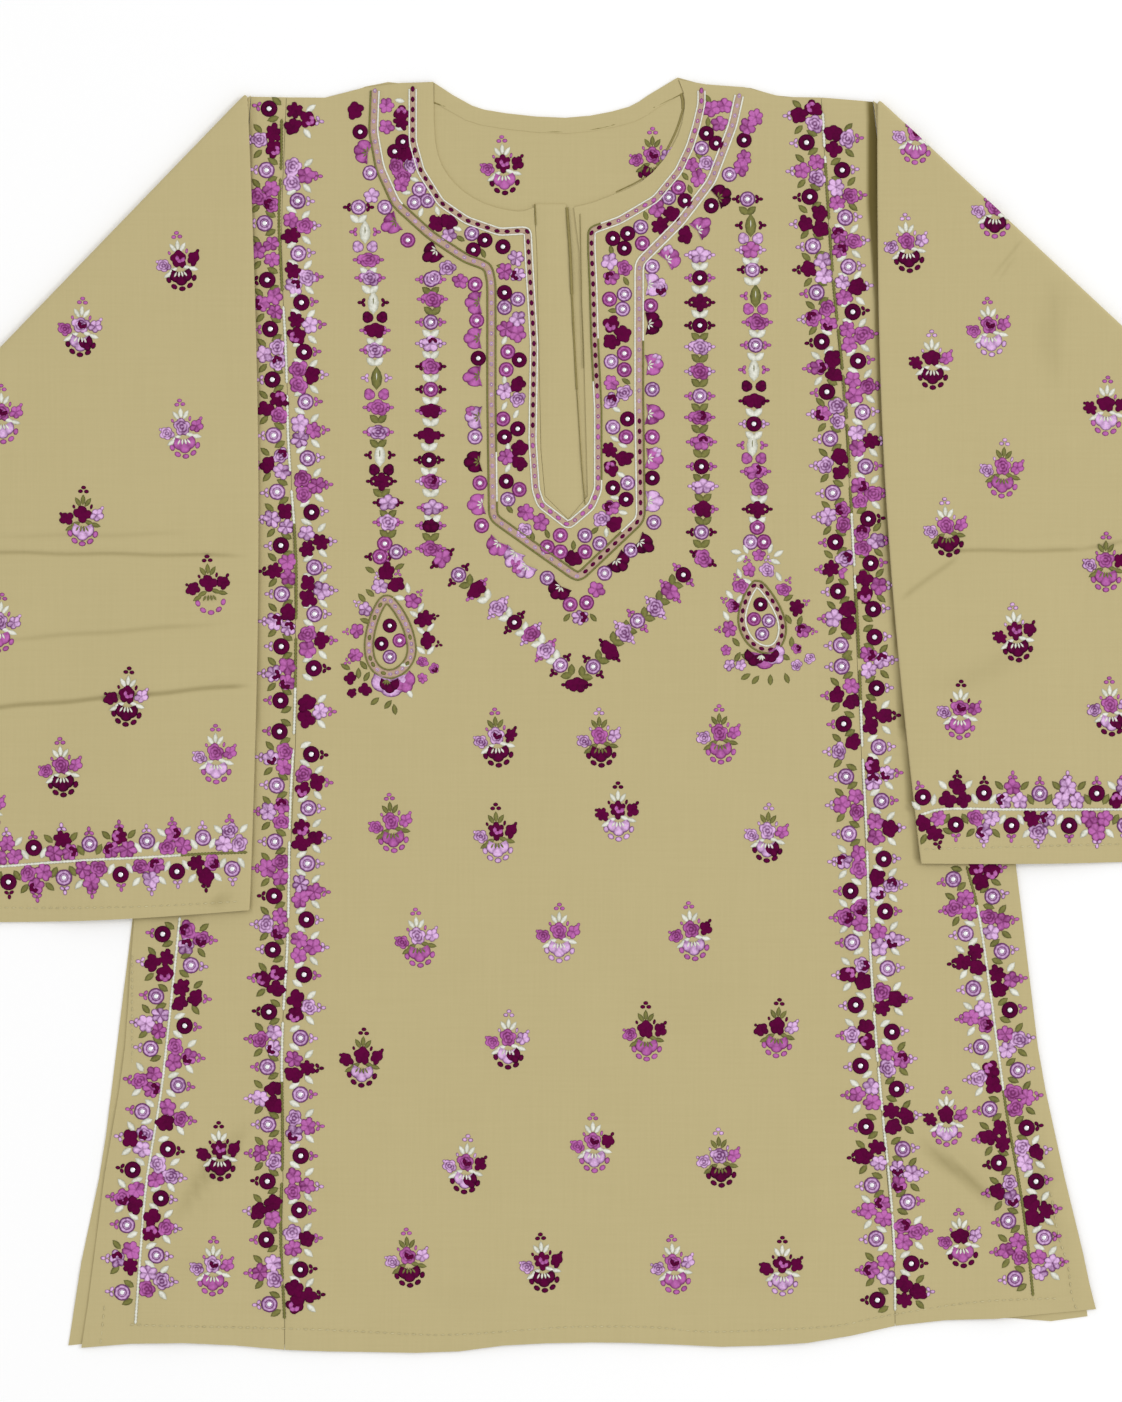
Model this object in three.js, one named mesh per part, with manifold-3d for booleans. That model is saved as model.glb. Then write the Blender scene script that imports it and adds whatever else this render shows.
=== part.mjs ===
// Short kurti of plain cotton, laid out flat with its front up.
// Each sleeve is a flattened tube, folded down over itself along a slanting crease from the shoulder.
// Millimetres, with +X to the right as seen, +Y from hem to collar and +Z up from the floor.

import * as THREE from 'three';
import { mergeVertices } from 'three/addons/utils/BufferGeometryUtils.js';
import Module from 'manifold-3d';

const wasm = await Module();
wasm.setup();

// Cloth and layers
const clothWall = 1.2;
const seamGap = 0.3;
const backFloor = 0;
const frontFloor = backFloor + clothWall + seamGap;

// Body
const shoulderHeight = 766;
const underarmHeight = 532;
const armholeSteps = 8;
const bodySteps = 20;
const sideColumns = 4;
const centreColumns = 14;
const hemReach = 110;
const shoulderReach = 60;

// Edges and seam lines of the body, across the garment at each height above the hem
const bodySections = [
  { height: 0, backLeft: -301, frontLeft: -293, seamLeft: -169, seamRight: 203, frontRight: 325.5, backRight: 320.5 },
  { height: 27, backLeft: -297, frontLeft: -289, seamLeft: -169, seamRight: 203, frontRight: 321.5, backRight: 318 },
  { height: 60, backLeft: -292, frontLeft: -285, seamLeft: -171, seamRight: 202, frontRight: 316.5, backRight: 314 },
  { height: 113, backLeft: -281, frontLeft: -278, seamLeft: -170, seamRight: 198, frontRight: 305, backRight: 304 },
  { height: 180, backLeft: -272, frontLeft: -267, seamLeft: -171, seamRight: 192, frontRight: 291, backRight: 290 },
  { height: 262, backLeft: -263, frontLeft: -261, seamLeft: -167, seamRight: 187, frontRight: 281, backRight: 281 },
  { height: 398, backLeft: -246, frontLeft: -246, seamLeft: -162, seamRight: 182, frontRight: 264, backRight: 264 },
  { height: 532, backLeft: -227, frontLeft: -227, seamLeft: -165, seamRight: 175, frontRight: 241, backRight: 241 },
  { height: 600, backLeft: -208, frontLeft: -208, seamLeft: -168, seamRight: 170, frontRight: 218, backRight: 218 },
  { height: 680, backLeft: -196, frontLeft: -196, seamLeft: -171, seamRight: 163, frontRight: 200, backRight: 200 },
  { height: 766, backLeft: -189.5, frontLeft: -189.5, seamLeft: -168, seamRight: 158, frontRight: 189.5, backRight: 189.5 },
];

// Height of the hem along the garment
const hemLine = [
  { across: -302, front: 2, back: 4 },
  { across: -260, front: 5.5, back: 8 },
  { across: -215, front: 5.5, back: 8 },
  { across: -175, front: 2, back: 5 },
  { across: -110, front: 0, back: 3 },
  { across: -65, front: 0.5, back: 3 },
  { across: -28, front: 5, back: 7 },
  { across: 45, front: 6, back: 8 },
  { across: 93, front: 3.5, back: 6 },
  { across: 150, front: 6, back: 8 },
  { across: 180, front: 11, back: 12 },
  { across: 216, front: 18.5, back: 20 },
  { across: 270, front: 21, back: 21 },
  { across: 300, front: 24, back: 19 },
  { across: 332, front: 27, back: 24 },
];

// Height of the shoulder edge along the garment
const shoulderLine = [
  { across: -194, height: 765.5 },
  { across: -140, height: 765 },
  { across: -128, height: 767 },
  { across: -115, height: 774 },
  { across: -94, height: 773.5 },
  { across: -87, height: 772 },
  { across: -78, height: 774.5 },
  { across: 70.6, height: 777 },
  { across: 79, height: 774 },
  { across: 122, height: 770 },
  { across: 133, height: 765.5 },
  { across: 157, height: 765 },
  { across: 194, height: 762 },
];

// Front neckline from each slit corner up to the shoulder, and the back neckline between the shoulders
const neckTop = 790;
const neckLeft = [
  { x: -17, y: 698 },
  { x: -28, y: 695.5 },
  { x: -50, y: 701.5 },
  { x: -68, y: 715.5 },
  { x: -77, y: 736 },
  { x: -78.3, y: 774.5 },
];
const neckRight = [
  { x: 7.3, y: 698 },
  { x: 23, y: 702.5 },
  { x: 51, y: 715.5 },
  { x: 69.5, y: 739 },
  { x: 75, y: 762 },
  { x: 70.6, y: 777.3 },
];
const backNeck = [
  { x: -78.3, y: 774.3 },
  { x: -62, y: 764 },
  { x: -44, y: 757 },
  { x: 2, y: 752.7 },
  { x: 38, y: 758.5 },
  { x: 54, y: 767.4 },
  { x: 70.6, y: 777.3 },
];
const facingWidth = 9.5;
const curveSteps = 16;

// Front slit with its pointed foot, and the strip that lies behind it
const slitSections = [
  { height: 698, left: -17, right: 7.3, strip: 2.4 },
  { height: 671, left: -15.5, right: 10.7, strip: 5.2 },
  { height: 616, left: -14.2, right: 13.4, strip: 7.8 },
  { height: 550, left: -13, right: 14.8, strip: 11.6 },
  { height: 522, left: -10.5, right: 15.8, strip: 13.7 },
];
const slitFoot = { x: 3.8, y: 507.8 };
const stripTop = 700;

// Sleeves: outward side, shoulder point, crease slope below level, cuff corners, bows of edge and cuff, ridges
const sleeves = [
  {
    name: 'sleeve_left',
    side: -1,
    shoulder: { x: -192, y: 764.2 },
    creaseSlope: 46,
    cuffInner: { x: -191, y: 268.5 },
    cuffOuter: { x: -391, y: 262 },
    edgeBow: 6,
    cuffBow: 3,
    edge: 'frontLeft',
    ridges: [
      { inner: 425, outer: 412, width: 9, rise: 1.1 },
      { inner: 492, outer: 497, width: 12, rise: 0.6 },
      { inner: 468, outer: 474, width: 10, rise: 0.5 },
    ],
  },
  {
    name: 'sleeve_right',
    side: 1,
    shoulder: { x: 192.6, y: 760.5 },
    creaseSlope: 43,
    cuffInner: { x: 219.5, y: 297 },
    cuffOuter: { x: 419.5, y: 302 },
    edgeBow: 8.5,
    cuffBow: 2,
    edge: 'frontRight',
    ridges: [
      { inner: 488, outer: 492, width: 11, rise: 0.9 },
      { inner: 676, outer: 650, width: 14, rise: 0.7 },
    ],
  },
];
const tubeHollow = 0.3;
const tubeHalf = clothWall + tubeHollow / 2;
const creaseRadius = tubeHalf + seamGap;
const fanSteps = 3;
const creaseSteps = 5;
const flapSteps = 17;
const dropStart = 27;
const dropEnd = 56;

// Soft folds that rise from the hem of the front: foot, lean per unit of height, reach, width and rise
const hemFolds = [
  { foot: -228, lean: 0.05, reach: 190, width: 17, rise: 1.6 },
  { foot: -160, lean: 0, reach: 90, width: 15, rise: 0.8 },
  { foot: -28, lean: -0.06, reach: 130, width: 20, rise: 1.3 },
  { foot: 48, lean: 0.04, reach: 110, width: 18, rise: 1.1 },
  { foot: 150, lean: 0.02, reach: 150, width: 19, rise: 1.2 },
  { foot: 262, lean: -0.1, reach: 200, width: 15, rise: 1.7 },
];

const clothColour = '#bcae80';
const facingColour = '#bdb081';

// Curves through the tables

function along(table, key, value, at) {
  const last = table.length - 1;
  const step = Math.sign(table[last][key] - table[0][key]);
  let row = 0;
  while (row < last - 1 && (at - table[row + 1][key]) * step > 0) {
    row += 1;
  }
  const slope = (k) => {
    const before = table[Math.max(k - 1, 0)];
    const after = table[Math.min(k + 1, last)];
    return (after[value] - before[value]) / (after[key] - before[key]);
  };
  const span = table[row + 1][key] - table[row][key];
  const t = THREE.MathUtils.clamp((at - table[row][key]) / span, 0, 1);
  const t2 = t * t;
  const t3 = t2 * t;
  const start = table[row][value] * (2 * t3 - 3 * t2 + 1) + slope(row) * span * (t3 - 2 * t2 + t);
  const end = table[row + 1][value] * (3 * t2 - 2 * t3) + slope(row + 1) * span * (t3 - t2);
  return start + end;
}

function smoothCurve(points, steps) {
  const curve = new THREE.SplineCurve(points.map((point) => new THREE.Vector2(point.x, point.y)));
  return curve.getPoints(steps);
}

function bodyLevels() {
  const levels = [];
  for (let step = 0; step < bodySteps; step += 1) {
    levels.push((underarmHeight * step) / bodySteps);
  }
  for (let step = 0; step <= armholeSteps; step += 1) {
    levels.push(underarmHeight + ((shoulderHeight - underarmHeight) * step) / armholeSteps);
  }
  return levels;
}

// A point of the body at a nominal height, shifted by the hem and shoulder lines where it is near them
function bodyPoint(x, height, layer) {
  const hemPull = Math.max(0, 1 - height / hemReach) ** 2;
  const shoulderPull = Math.max(0, 1 - (shoulderHeight - height) / shoulderReach) ** 2;
  const hemShift = along(hemLine, 'across', layer, x) * hemPull;
  const shoulderShift = (along(shoulderLine, 'across', 'height', x) - shoulderHeight) * shoulderPull;
  return new THREE.Vector2(x, height + hemShift + shoulderShift);
}

function foldLift(x, y) {
  let lift = 0;
  for (const fold of hemFolds) {
    const offset = (x - fold.foot - fold.lean * y) / fold.width;
    const fade = Math.cos((Math.min(y / fold.reach, 1) * Math.PI) / 2) ** 2;
    lift += fold.rise * fade * Math.exp(-offset * offset);
  }
  return lift;
}

// Solids

function toSolid(geometry) {
  const bare = geometry.clone();
  bare.deleteAttribute('normal');
  bare.deleteAttribute('uv');
  const merged = mergeVertices(bare, 1e-4);
  const vertProperties = new Float32Array(merged.attributes.position.array);
  const triVerts = new Uint32Array(merged.index.array);
  return new wasm.Manifold(new wasm.Mesh({ numProp: 3, vertProperties, triVerts }));
}

function toGeometry(solid) {
  const mesh = solid.getMesh();
  const geometry = new THREE.BufferGeometry();
  geometry.setAttribute('position', new THREE.BufferAttribute(new Float32Array(mesh.vertProperties), 3));
  geometry.setIndex(new THREE.BufferAttribute(new Uint32Array(mesh.triVerts), 1));
  return geometry;
}

function geometryFrom(vertices, triangles) {
  const geometry = new THREE.BufferGeometry();
  geometry.setAttribute('position', new THREE.Float32BufferAttribute(vertices, 3));
  geometry.setIndex(triangles);
  return geometry;
}

function prism(outline, floor, thickness) {
  const geometry = new THREE.ExtrudeGeometry(new THREE.Shape(outline), { depth: thickness, bevelEnabled: false });
  geometry.translate(0, 0, floor);
  return geometry;
}

// Closed sheet of cloth over a grid of points, rows up the garment and columns across it
function clothSheet(rows, columns, place, floor) {
  const vertices = [];
  const triangles = [];
  const size = rows * columns;
  for (const top of [0, clothWall]) {
    for (let row = 0; row < rows; row += 1) {
      for (let column = 0; column < columns; column += 1) {
        const point = place(row, column);
        vertices.push(point.x, point.y, floor + foldLift(point.x, point.y) + top);
      }
    }
  }
  const quad = (a, b, c, d) => triangles.push(a, b, c, a, c, d);
  for (let row = 0; row < rows - 1; row += 1) {
    for (let column = 0; column < columns - 1; column += 1) {
      const corner = row * columns + column;
      const above = corner + columns;
      quad(size + corner, size + corner + 1, size + above + 1, size + above);
      quad(corner, above, above + 1, corner + 1);
    }
  }
  const rim = [];
  for (let column = 0; column < columns - 1; column += 1) {
    rim.push(column);
  }
  for (let row = 0; row < rows - 1; row += 1) {
    rim.push(row * columns + columns - 1);
  }
  for (let column = columns - 1; column > 0; column -= 1) {
    rim.push((rows - 1) * columns + column);
  }
  for (let row = rows - 1; row > 0; row -= 1) {
    rim.push(row * columns);
  }
  rim.forEach((from, index) => {
    const to = rim[(index + 1) % rim.length];
    quad(from, to, size + to, size + from);
  });
  return geometryFrom(vertices, triangles);
}

// Pieces of the body

function frontPanel(leftEdge, leftInset, rightEdge, rightInset, columns) {
  const levels = bodyLevels();
  const place = (row, column) => {
    const left = along(bodySections, 'height', leftEdge, levels[row]) + leftInset;
    const right = along(bodySections, 'height', rightEdge, levels[row]) - rightInset;
    return bodyPoint(left + ((right - left) * column) / columns, levels[row], 'front');
  };
  return clothSheet(levels.length, columns + 1, place, frontFloor);
}

function slitEdge(key, inset) {
  return slitSections.map((section) => new THREE.Vector2(section[key] + inset, section.height));
}

// Outline of the neck opening and slit, drawn in by an inset
function openingOutline(inset) {
  const left = smoothCurve(neckLeft, curveSteps).slice(1);
  const right = smoothCurve(neckRight, curveSteps).slice(1);
  const centre = new THREE.Vector2((neckLeft.at(-1).x + neckRight.at(-1).x) / 2, shoulderHeight);
  const drawIn = (point) => {
    const inward = centre.clone().sub(point).normalize();
    return point.clone().addScaledVector(inward, inset);
  };
  const foot = new THREE.Vector2(slitFoot.x, slitFoot.y + inset);
  return [
    new THREE.Vector2(left.at(-1).x + inset, neckTop),
    ...left.map(drawIn).reverse(),
    ...slitEdge('left', inset),
    foot,
    ...slitEdge('right', -inset).reverse(),
    ...right.map(drawIn),
    new THREE.Vector2(right.at(-1).x - inset, neckTop),
  ];
}

function frontCentre() {
  const sheet = toSolid(frontPanel('seamLeft', seamGap / 2, 'seamRight', seamGap / 2, centreColumns));
  const opening = toSolid(prism(openingOutline(0), backFloor, frontFloor + 4 * clothWall));
  return toGeometry(sheet.subtract(opening));
}

function slitStrip() {
  const farLeft = slitSections[0].left;
  const strip = [
    new THREE.Vector2(farLeft, stripTop),
    new THREE.Vector2(farLeft, slitFoot.y),
    new THREE.Vector2(slitSections.at(-1).strip, slitFoot.y),
    ...slitEdge('strip', 0).reverse().slice(0, -1),
    new THREE.Vector2(slitSections[0].strip, stripTop),
  ];
  const opening = toSolid(prism(openingOutline(seamGap), frontFloor - clothWall, 3 * clothWall));
  return toGeometry(toSolid(prism(strip, frontFloor, clothWall)).intersect(opening));
}

function backNeckFacing() {
  const edge = smoothCurve(backNeck, curveSteps);
  const lower = edge.map((point, index) => {
    const before = edge[Math.max(index - 1, 0)];
    const after = edge[Math.min(index + 1, edge.length - 1)];
    const run = after.clone().sub(before).normalize();
    return new THREE.Vector2(point.x + run.y * facingWidth, point.y - run.x * facingWidth);
  });
  const band = toSolid(prism([...edge, ...lower.reverse()], frontFloor, clothWall));
  const opening = toSolid(prism(openingOutline(seamGap), frontFloor - clothWall, 3 * clothWall));
  return toGeometry(band.intersect(opening));
}

function back() {
  const levels = bodyLevels();
  const edge = (key) => levels.map((level) => bodyPoint(along(bodySections, 'height', key, level), level, 'back'));
  const left = edge('backLeft');
  const right = edge('backRight');
  const between = (from, to, layer, height, steps) => {
    const points = [];
    for (let step = 1; step < steps; step += 1) {
      points.push(bodyPoint(from + ((to - from) * step) / steps, height, layer));
    }
    return points;
  };
  const outline = [
    ...between(left[0].x, right[0].x, 'back', 0, 2 * centreColumns),
    ...right,
    ...between(right.at(-1).x, backNeck.at(-1).x, 'back', shoulderHeight, sideColumns * 2),
    ...smoothCurve(backNeck, curveSteps).reverse(),
    ...between(backNeck[0].x, left.at(-1).x, 'back', shoulderHeight, sideColumns * 2),
    ...left.reverse(),
  ];
  return prism(outline, backFloor, clothWall);
}

// Sleeves

// Closed loop round the flattened tube: place along the width, reach past its ends, and height
function tubeLoop(half) {
  const diagonal = half * Math.SQRT1_2;
  const loop = [];
  for (let step = 0; step <= armholeSteps; step += 1) {
    loop.push({ width: step / armholeSteps, beyond: 0, height: half });
  }
  loop.push({ width: 1, beyond: diagonal, height: diagonal });
  loop.push({ width: 1, beyond: diagonal, height: -diagonal });
  for (let step = armholeSteps; step >= 0; step -= 1) {
    loop.push({ width: step / armholeSteps, beyond: 0, height: -half });
  }
  loop.push({ width: 0, beyond: -diagonal, height: -diagonal });
  loop.push({ width: 0, beyond: -diagonal, height: diagonal });
  return loop;
}

function creaseDirection(sleeve) {
  const slope = THREE.MathUtils.degToRad(sleeve.creaseSlope);
  return new THREE.Vector2(sleeve.side * Math.cos(slope), -Math.sin(slope));
}

function underarmPoint(sleeve) {
  const x = along(bodySections, 'height', sleeve.edge, underarmHeight) + sleeve.side * seamGap;
  return new THREE.Vector2(x, underarmHeight);
}

// The crease ends where it meets the line from the underarm to the cuff corner of the sleeve laid open
function creaseEnd(sleeve) {
  const shoulder = new THREE.Vector2(sleeve.shoulder.x, sleeve.shoulder.y);
  const run = creaseDirection(sleeve);
  const cuff = new THREE.Vector2(sleeve.cuffOuter.x, sleeve.cuffOuter.y).sub(shoulder);
  const opened = run.clone().multiplyScalar(2 * cuff.dot(run)).sub(cuff).add(shoulder);
  const underarm = underarmPoint(sleeve);
  const edge = opened.sub(underarm);
  const offset = underarm.clone().sub(shoulder);
  const reach = offset.cross(edge) / run.cross(edge);
  return shoulder.clone().addScaledVector(run, reach);
}

// Lines across the sleeve from its armhole to its cuff, each with how far round the crease it has turned
function sleeveStations(sleeve) {
  const shoulder = new THREE.Vector2(sleeve.shoulder.x, sleeve.shoulder.y);
  const far = creaseEnd(sleeve);
  const cuffInner = new THREE.Vector2(sleeve.cuffInner.x, sleeve.cuffInner.y);
  const cuffOuter = new THREE.Vector2(sleeve.cuffOuter.x, sleeve.cuffOuter.y);
  const armhole = (width) => {
    const height = shoulderHeight + (underarmHeight - shoulderHeight) * width;
    const point = bodyPoint(along(bodySections, 'height', sleeve.edge, height), height, 'front');
    return point.add(new THREE.Vector2(sleeve.side * seamGap, 0));
  };
  const crease = (width) => shoulder.clone().lerp(far, width);
  const stations = [];
  for (let step = 0; step < fanSteps; step += 1) {
    stations.push({ line: (width) => armhole(width).lerp(crease(width), step / fanSteps), turn: 0 });
  }
  for (let step = 0; step <= creaseSteps; step += 1) {
    stations.push({ line: crease, turn: (Math.PI * step) / creaseSteps });
  }
  for (let step = 1; step <= flapSteps; step += 1) {
    const share = step / flapSteps;
    const bow = sleeve.edgeBow * Math.sin(Math.PI * share);
    const inner = shoulder.clone().lerp(cuffInner, share);
    inner.x -= sleeve.side * bow;
    const outer = far.clone().lerp(cuffOuter, share);
    const line = (width) => {
      const point = inner.clone().lerp(outer, width);
      point.y -= sleeve.cuffBow * share * Math.sin(Math.PI * width);
      return point;
    };
    stations.push({ line, turn: Math.PI });
  }
  return stations;
}

// How far the folded part sinks where neither the body nor the rest of the sleeve lies under it
function flapDrop(sleeve, point) {
  const underarm = underarmPoint(sleeve);
  const far = creaseEnd(sleeve);
  const share = (point.x - underarm.x) / (far.x - underarm.x);
  const lowerEdge = underarm.y + (far.y - underarm.y) * share;
  const height = Math.min(point.y, underarmHeight);
  const pastBody = sleeve.side * (point.x - along(bodySections, 'height', sleeve.edge, height));
  const pastFold = lowerEdge - point.y;
  const outside = Math.min(pastBody, pastFold);
  return 2 * creaseRadius * THREE.MathUtils.smoothstep(outside, dropStart, dropEnd);
}

function ridgeLift(sleeve, point) {
  const share = (point.x - sleeve.cuffInner.x) / (sleeve.cuffOuter.x - sleeve.cuffInner.x);
  let lift = 0;
  for (const ridge of sleeve.ridges) {
    const offset = (point.y - THREE.MathUtils.lerp(ridge.inner, ridge.outer, share)) / ridge.width;
    lift += ridge.rise * Math.exp(-offset * offset);
  }
  return lift;
}

function sleeveTube(sleeve) {
  const run = creaseDirection(sleeve);
  const outward = new THREE.Vector2(-run.y * sleeve.side, run.x * sleeve.side);
  const loops = [tubeLoop(tubeHalf), tubeLoop(tubeHollow / 2)];
  const count = loops[0].length;
  const vertices = [];
  const triangles = [];
  const stations = sleeveStations(sleeve);
  for (const station of stations) {
    const direction = station.line(1).sub(station.line(0)).normalize();
    for (const loop of loops) {
      for (const spot of loop) {
        const point = station.line(spot.width).addScaledVector(direction, spot.beyond);
        const arm = creaseRadius - spot.height;
        point.addScaledVector(outward, arm * Math.sin(station.turn));
        let z = tubeHalf + creaseRadius - arm * Math.cos(station.turn);
        if (station.turn === Math.PI) {
          z += ridgeLift(sleeve, point) + foldLift(point.x, point.y) - flapDrop(sleeve, point);
        }
        vertices.push(point.x, point.y, z);
      }
    }
  }
  const quad = (a, b, c, d) => {
    if (sleeve.side > 0) {
      triangles.push(a, b, c, a, c, d);
    } else {
      triangles.push(a, c, b, a, d, c);
    }
  };
  const last = stations.length - 1;
  for (let index = 0; index < count; index += 1) {
    const next = (index + 1) % count;
    for (let station = 0; station < last; station += 1) {
      const here = station * 2 * count;
      const there = here + 2 * count;
      quad(here + index, here + next, there + next, there + index);
      quad(here + count + index, there + count + index, there + count + next, here + count + next);
    }
    const end = last * 2 * count;
    quad(index, count + index, count + next, next);
    quad(end + index, end + next, end + count + next, end + count + index);
  }
  return geometryFrom(vertices, triangles);
}

// Assembly

const kurti = new THREE.Group();

function addPiece(name, geometry, colour) {
  const material = new THREE.MeshStandardMaterial({ color: colour, roughness: 0.9, metalness: 0 });
  const mesh = new THREE.Mesh(geometry, material);
  mesh.name = name;
  kurti.add(mesh);
}

addPiece('back', back(), clothColour);
addPiece('front_side_left', frontPanel('frontLeft', 0, 'seamLeft', seamGap / 2, sideColumns), clothColour);
addPiece('front_centre', frontCentre(), clothColour);
addPiece('front_side_right', frontPanel('seamRight', seamGap / 2, 'frontRight', 0, sideColumns), clothColour);
addPiece('back_neck_facing', backNeckFacing(), facingColour);
addPiece('slit_strip', slitStrip(), facingColour);
for (const sleeve of sleeves) {
  addPiece(sleeve.name, sleeveTube(sleeve), clothColour);
}

// The origin lies on the floor under the middle of the whole garment
const extent = new THREE.Box3().setFromObject(kurti);
const middle = extent.getCenter(new THREE.Vector3());
kurti.position.set(-middle.x, -middle.y, -extent.min.z);
kurti.updateMatrixWorld(true);

export default kurti;
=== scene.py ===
# Short kurti of khaki cotton with flower embroidery, laid flat with its front up.
# Places on the garment are in millimetres: across from its middle line and up from its hem.
import math
import random

import bpy
import numpy as np
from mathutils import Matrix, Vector
from mathutils.bvhtree import BVHTree
from mathutils.kdtree import KDTree


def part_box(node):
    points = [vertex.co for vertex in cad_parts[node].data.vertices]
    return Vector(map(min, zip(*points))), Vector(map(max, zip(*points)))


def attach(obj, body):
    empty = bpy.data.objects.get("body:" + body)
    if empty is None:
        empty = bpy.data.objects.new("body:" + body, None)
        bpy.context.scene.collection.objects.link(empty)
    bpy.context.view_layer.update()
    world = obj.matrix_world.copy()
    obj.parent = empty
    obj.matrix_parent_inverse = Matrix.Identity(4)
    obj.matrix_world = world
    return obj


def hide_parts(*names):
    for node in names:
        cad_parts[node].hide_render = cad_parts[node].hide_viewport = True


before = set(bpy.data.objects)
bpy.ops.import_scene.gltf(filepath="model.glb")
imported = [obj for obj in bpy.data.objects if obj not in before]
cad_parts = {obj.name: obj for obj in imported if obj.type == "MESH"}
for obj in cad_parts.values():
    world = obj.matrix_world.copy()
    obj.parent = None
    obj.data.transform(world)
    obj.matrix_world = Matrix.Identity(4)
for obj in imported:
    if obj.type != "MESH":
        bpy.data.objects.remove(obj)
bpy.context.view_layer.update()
mm = 0.001
dice = random.Random(11)

# The pieces' own edges tie the garment's measures to the frame
garment = {"backEdge": -301, "stripTop": 700}
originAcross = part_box("back")[0].x - garment["backEdge"] * mm
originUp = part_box("slit_strip")[1].y - garment["stripTop"] * mm


def place(across, up):
    return originAcross + across * mm, originUp + up * mm


# Camera

camera = {
    "across": -0.6,
    "up": 397.1,
    "frameHeight": 855.2,  # what the photo shows from top to bottom
    "distance": 2600,
    "sensor": 36,
}


def addCamera():
    data = bpy.data.cameras.new("overheadCamera")
    data.sensor_width = camera["sensor"]
    data.lens = camera["sensor"] * camera["distance"] / camera["frameHeight"]
    data.clip_end = 50
    eye = bpy.data.objects.new("overheadCamera", data)
    eye.location = (*place(camera["across"], camera["up"]), camera["distance"] * mm)
    bpy.context.scene.collection.objects.link(eye)
    bpy.context.scene.camera = eye


addCamera()
print("camera placed")


# Materials

def linear(hexColour):
    channels = [int(hexColour[i:i + 2], 16) / 255 for i in (1, 3, 5)]
    return [c / 12.92 if c <= 0.04045 else ((c + 0.055) / 1.055) ** 2.4 for c in channels] + [1.0]


def newMaterial(name):
    material = bpy.data.materials.new(name)
    material.use_nodes = True
    shader = material.node_tree.nodes["Principled BSDF"]
    return material, material.node_tree, shader


def addNode(tree, kind, settings=None, values=None, links=None):
    node = tree.nodes.new(kind)
    for name, value in (settings or {}).items():
        setattr(node, name, value)
    for socket, value in (values or {}).items():
        node.inputs[socket].default_value = value
    for socket, source in (links or {}).items():
        tree.links.new(source, node.inputs[socket])
    return node


def calculate(tree, operation, values=None, links=None, clamp=False):
    settings = {"operation": operation, "use_clamp": clamp}
    return addNode(tree, "ShaderNodeMath", settings, values, links).outputs[0]


def noise(tree, scale, detail, where):
    values = {"Scale": scale, "Detail": detail}
    return addNode(tree, "ShaderNodeTexNoise", None, values, {"Vector": where}).outputs["Fac"]


def blend(tree, share, first, second):
    # from the first colour, which may also come from another node, to the second
    values = {"B": linear(second)}
    links = {"Factor": share}
    if isinstance(first, str):
        values["A"] = linear(first)
    else:
        links["A"] = first
    return addNode(tree, "ShaderNodeMix", {"data_type": "RGBA"}, values, links).outputs["Result"]


def bump(tree, strength, depth, height, under=None):
    links = {"Height": height}
    if under is not None:
        links["Normal"] = under
    values = {"Strength": strength, "Distance": depth * mm}
    return addNode(tree, "ShaderNodeBump", None, values, links).outputs[0]


def dressShader(tree, shader, colour, normal, roughness, gloss):
    tree.links.new(colour, shader.inputs["Base Color"])
    tree.links.new(normal, shader.inputs["Normal"])
    shader.inputs["Roughness"].default_value = roughness
    shader.inputs["Specular IOR Level"].default_value = gloss


def plainMaterial(name, colour, values):
    material, _, shader = newMaterial(name)
    shader.inputs["Base Color"].default_value = linear(colour)
    for socket, value in values.items():
        shader.inputs[socket].default_value = value
    return material


cotton = {
    "colour": "#bdaf80",
    "slub": "#baac7d",
    "pale": "#c2b587",
    "haze": 0.35,
    "shade": "#6f6231",
    "threadSpacing": 0.5,  # real threads lie about 0.3 mm apart, too fine to show, so the weave is coarser
    "threadDepth": 0.1,
    "slubLength": 45,
    "slubWidth": 1.6,
    "slubDepth": 0.25,
    "slubRange": (0.75, 1.3),
    "cloudSize": 90,
    "roughness": 0.88,
    "gloss": 0.3,
    "sheen": 0.12,
    "sheenRoughness": 0.5,
}


def waveScale(spacing):
    return 2 * math.pi / (20 * spacing * mm)  # a wave texture's own period is a twentieth of a turn


def weaveAndSlub(tree, where, direction):
    # the threads that run one way, and the thick stretches in them
    wave = addNode(
        tree, "ShaderNodeTexWave", {"bands_direction": direction},
        {"Scale": waveScale(cotton["threadSpacing"]), "Distortion": 0.6, "Detail": 1.0, "Detail Scale": 0.4},
        {"Vector": where},
    )
    long = 1 / (cotton["slubLength"] * mm)
    thin = 1 / (cotton["slubWidth"] * mm)
    stretch = (thin, long, 1) if direction == "X" else (long, thin, 1)
    mapped = addNode(tree, "ShaderNodeMapping", None, {"Scale": stretch}, {"Vector": where})
    return wave.outputs["Fac"], noise(tree, 1.0, 2.0, mapped.outputs[0])


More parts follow.
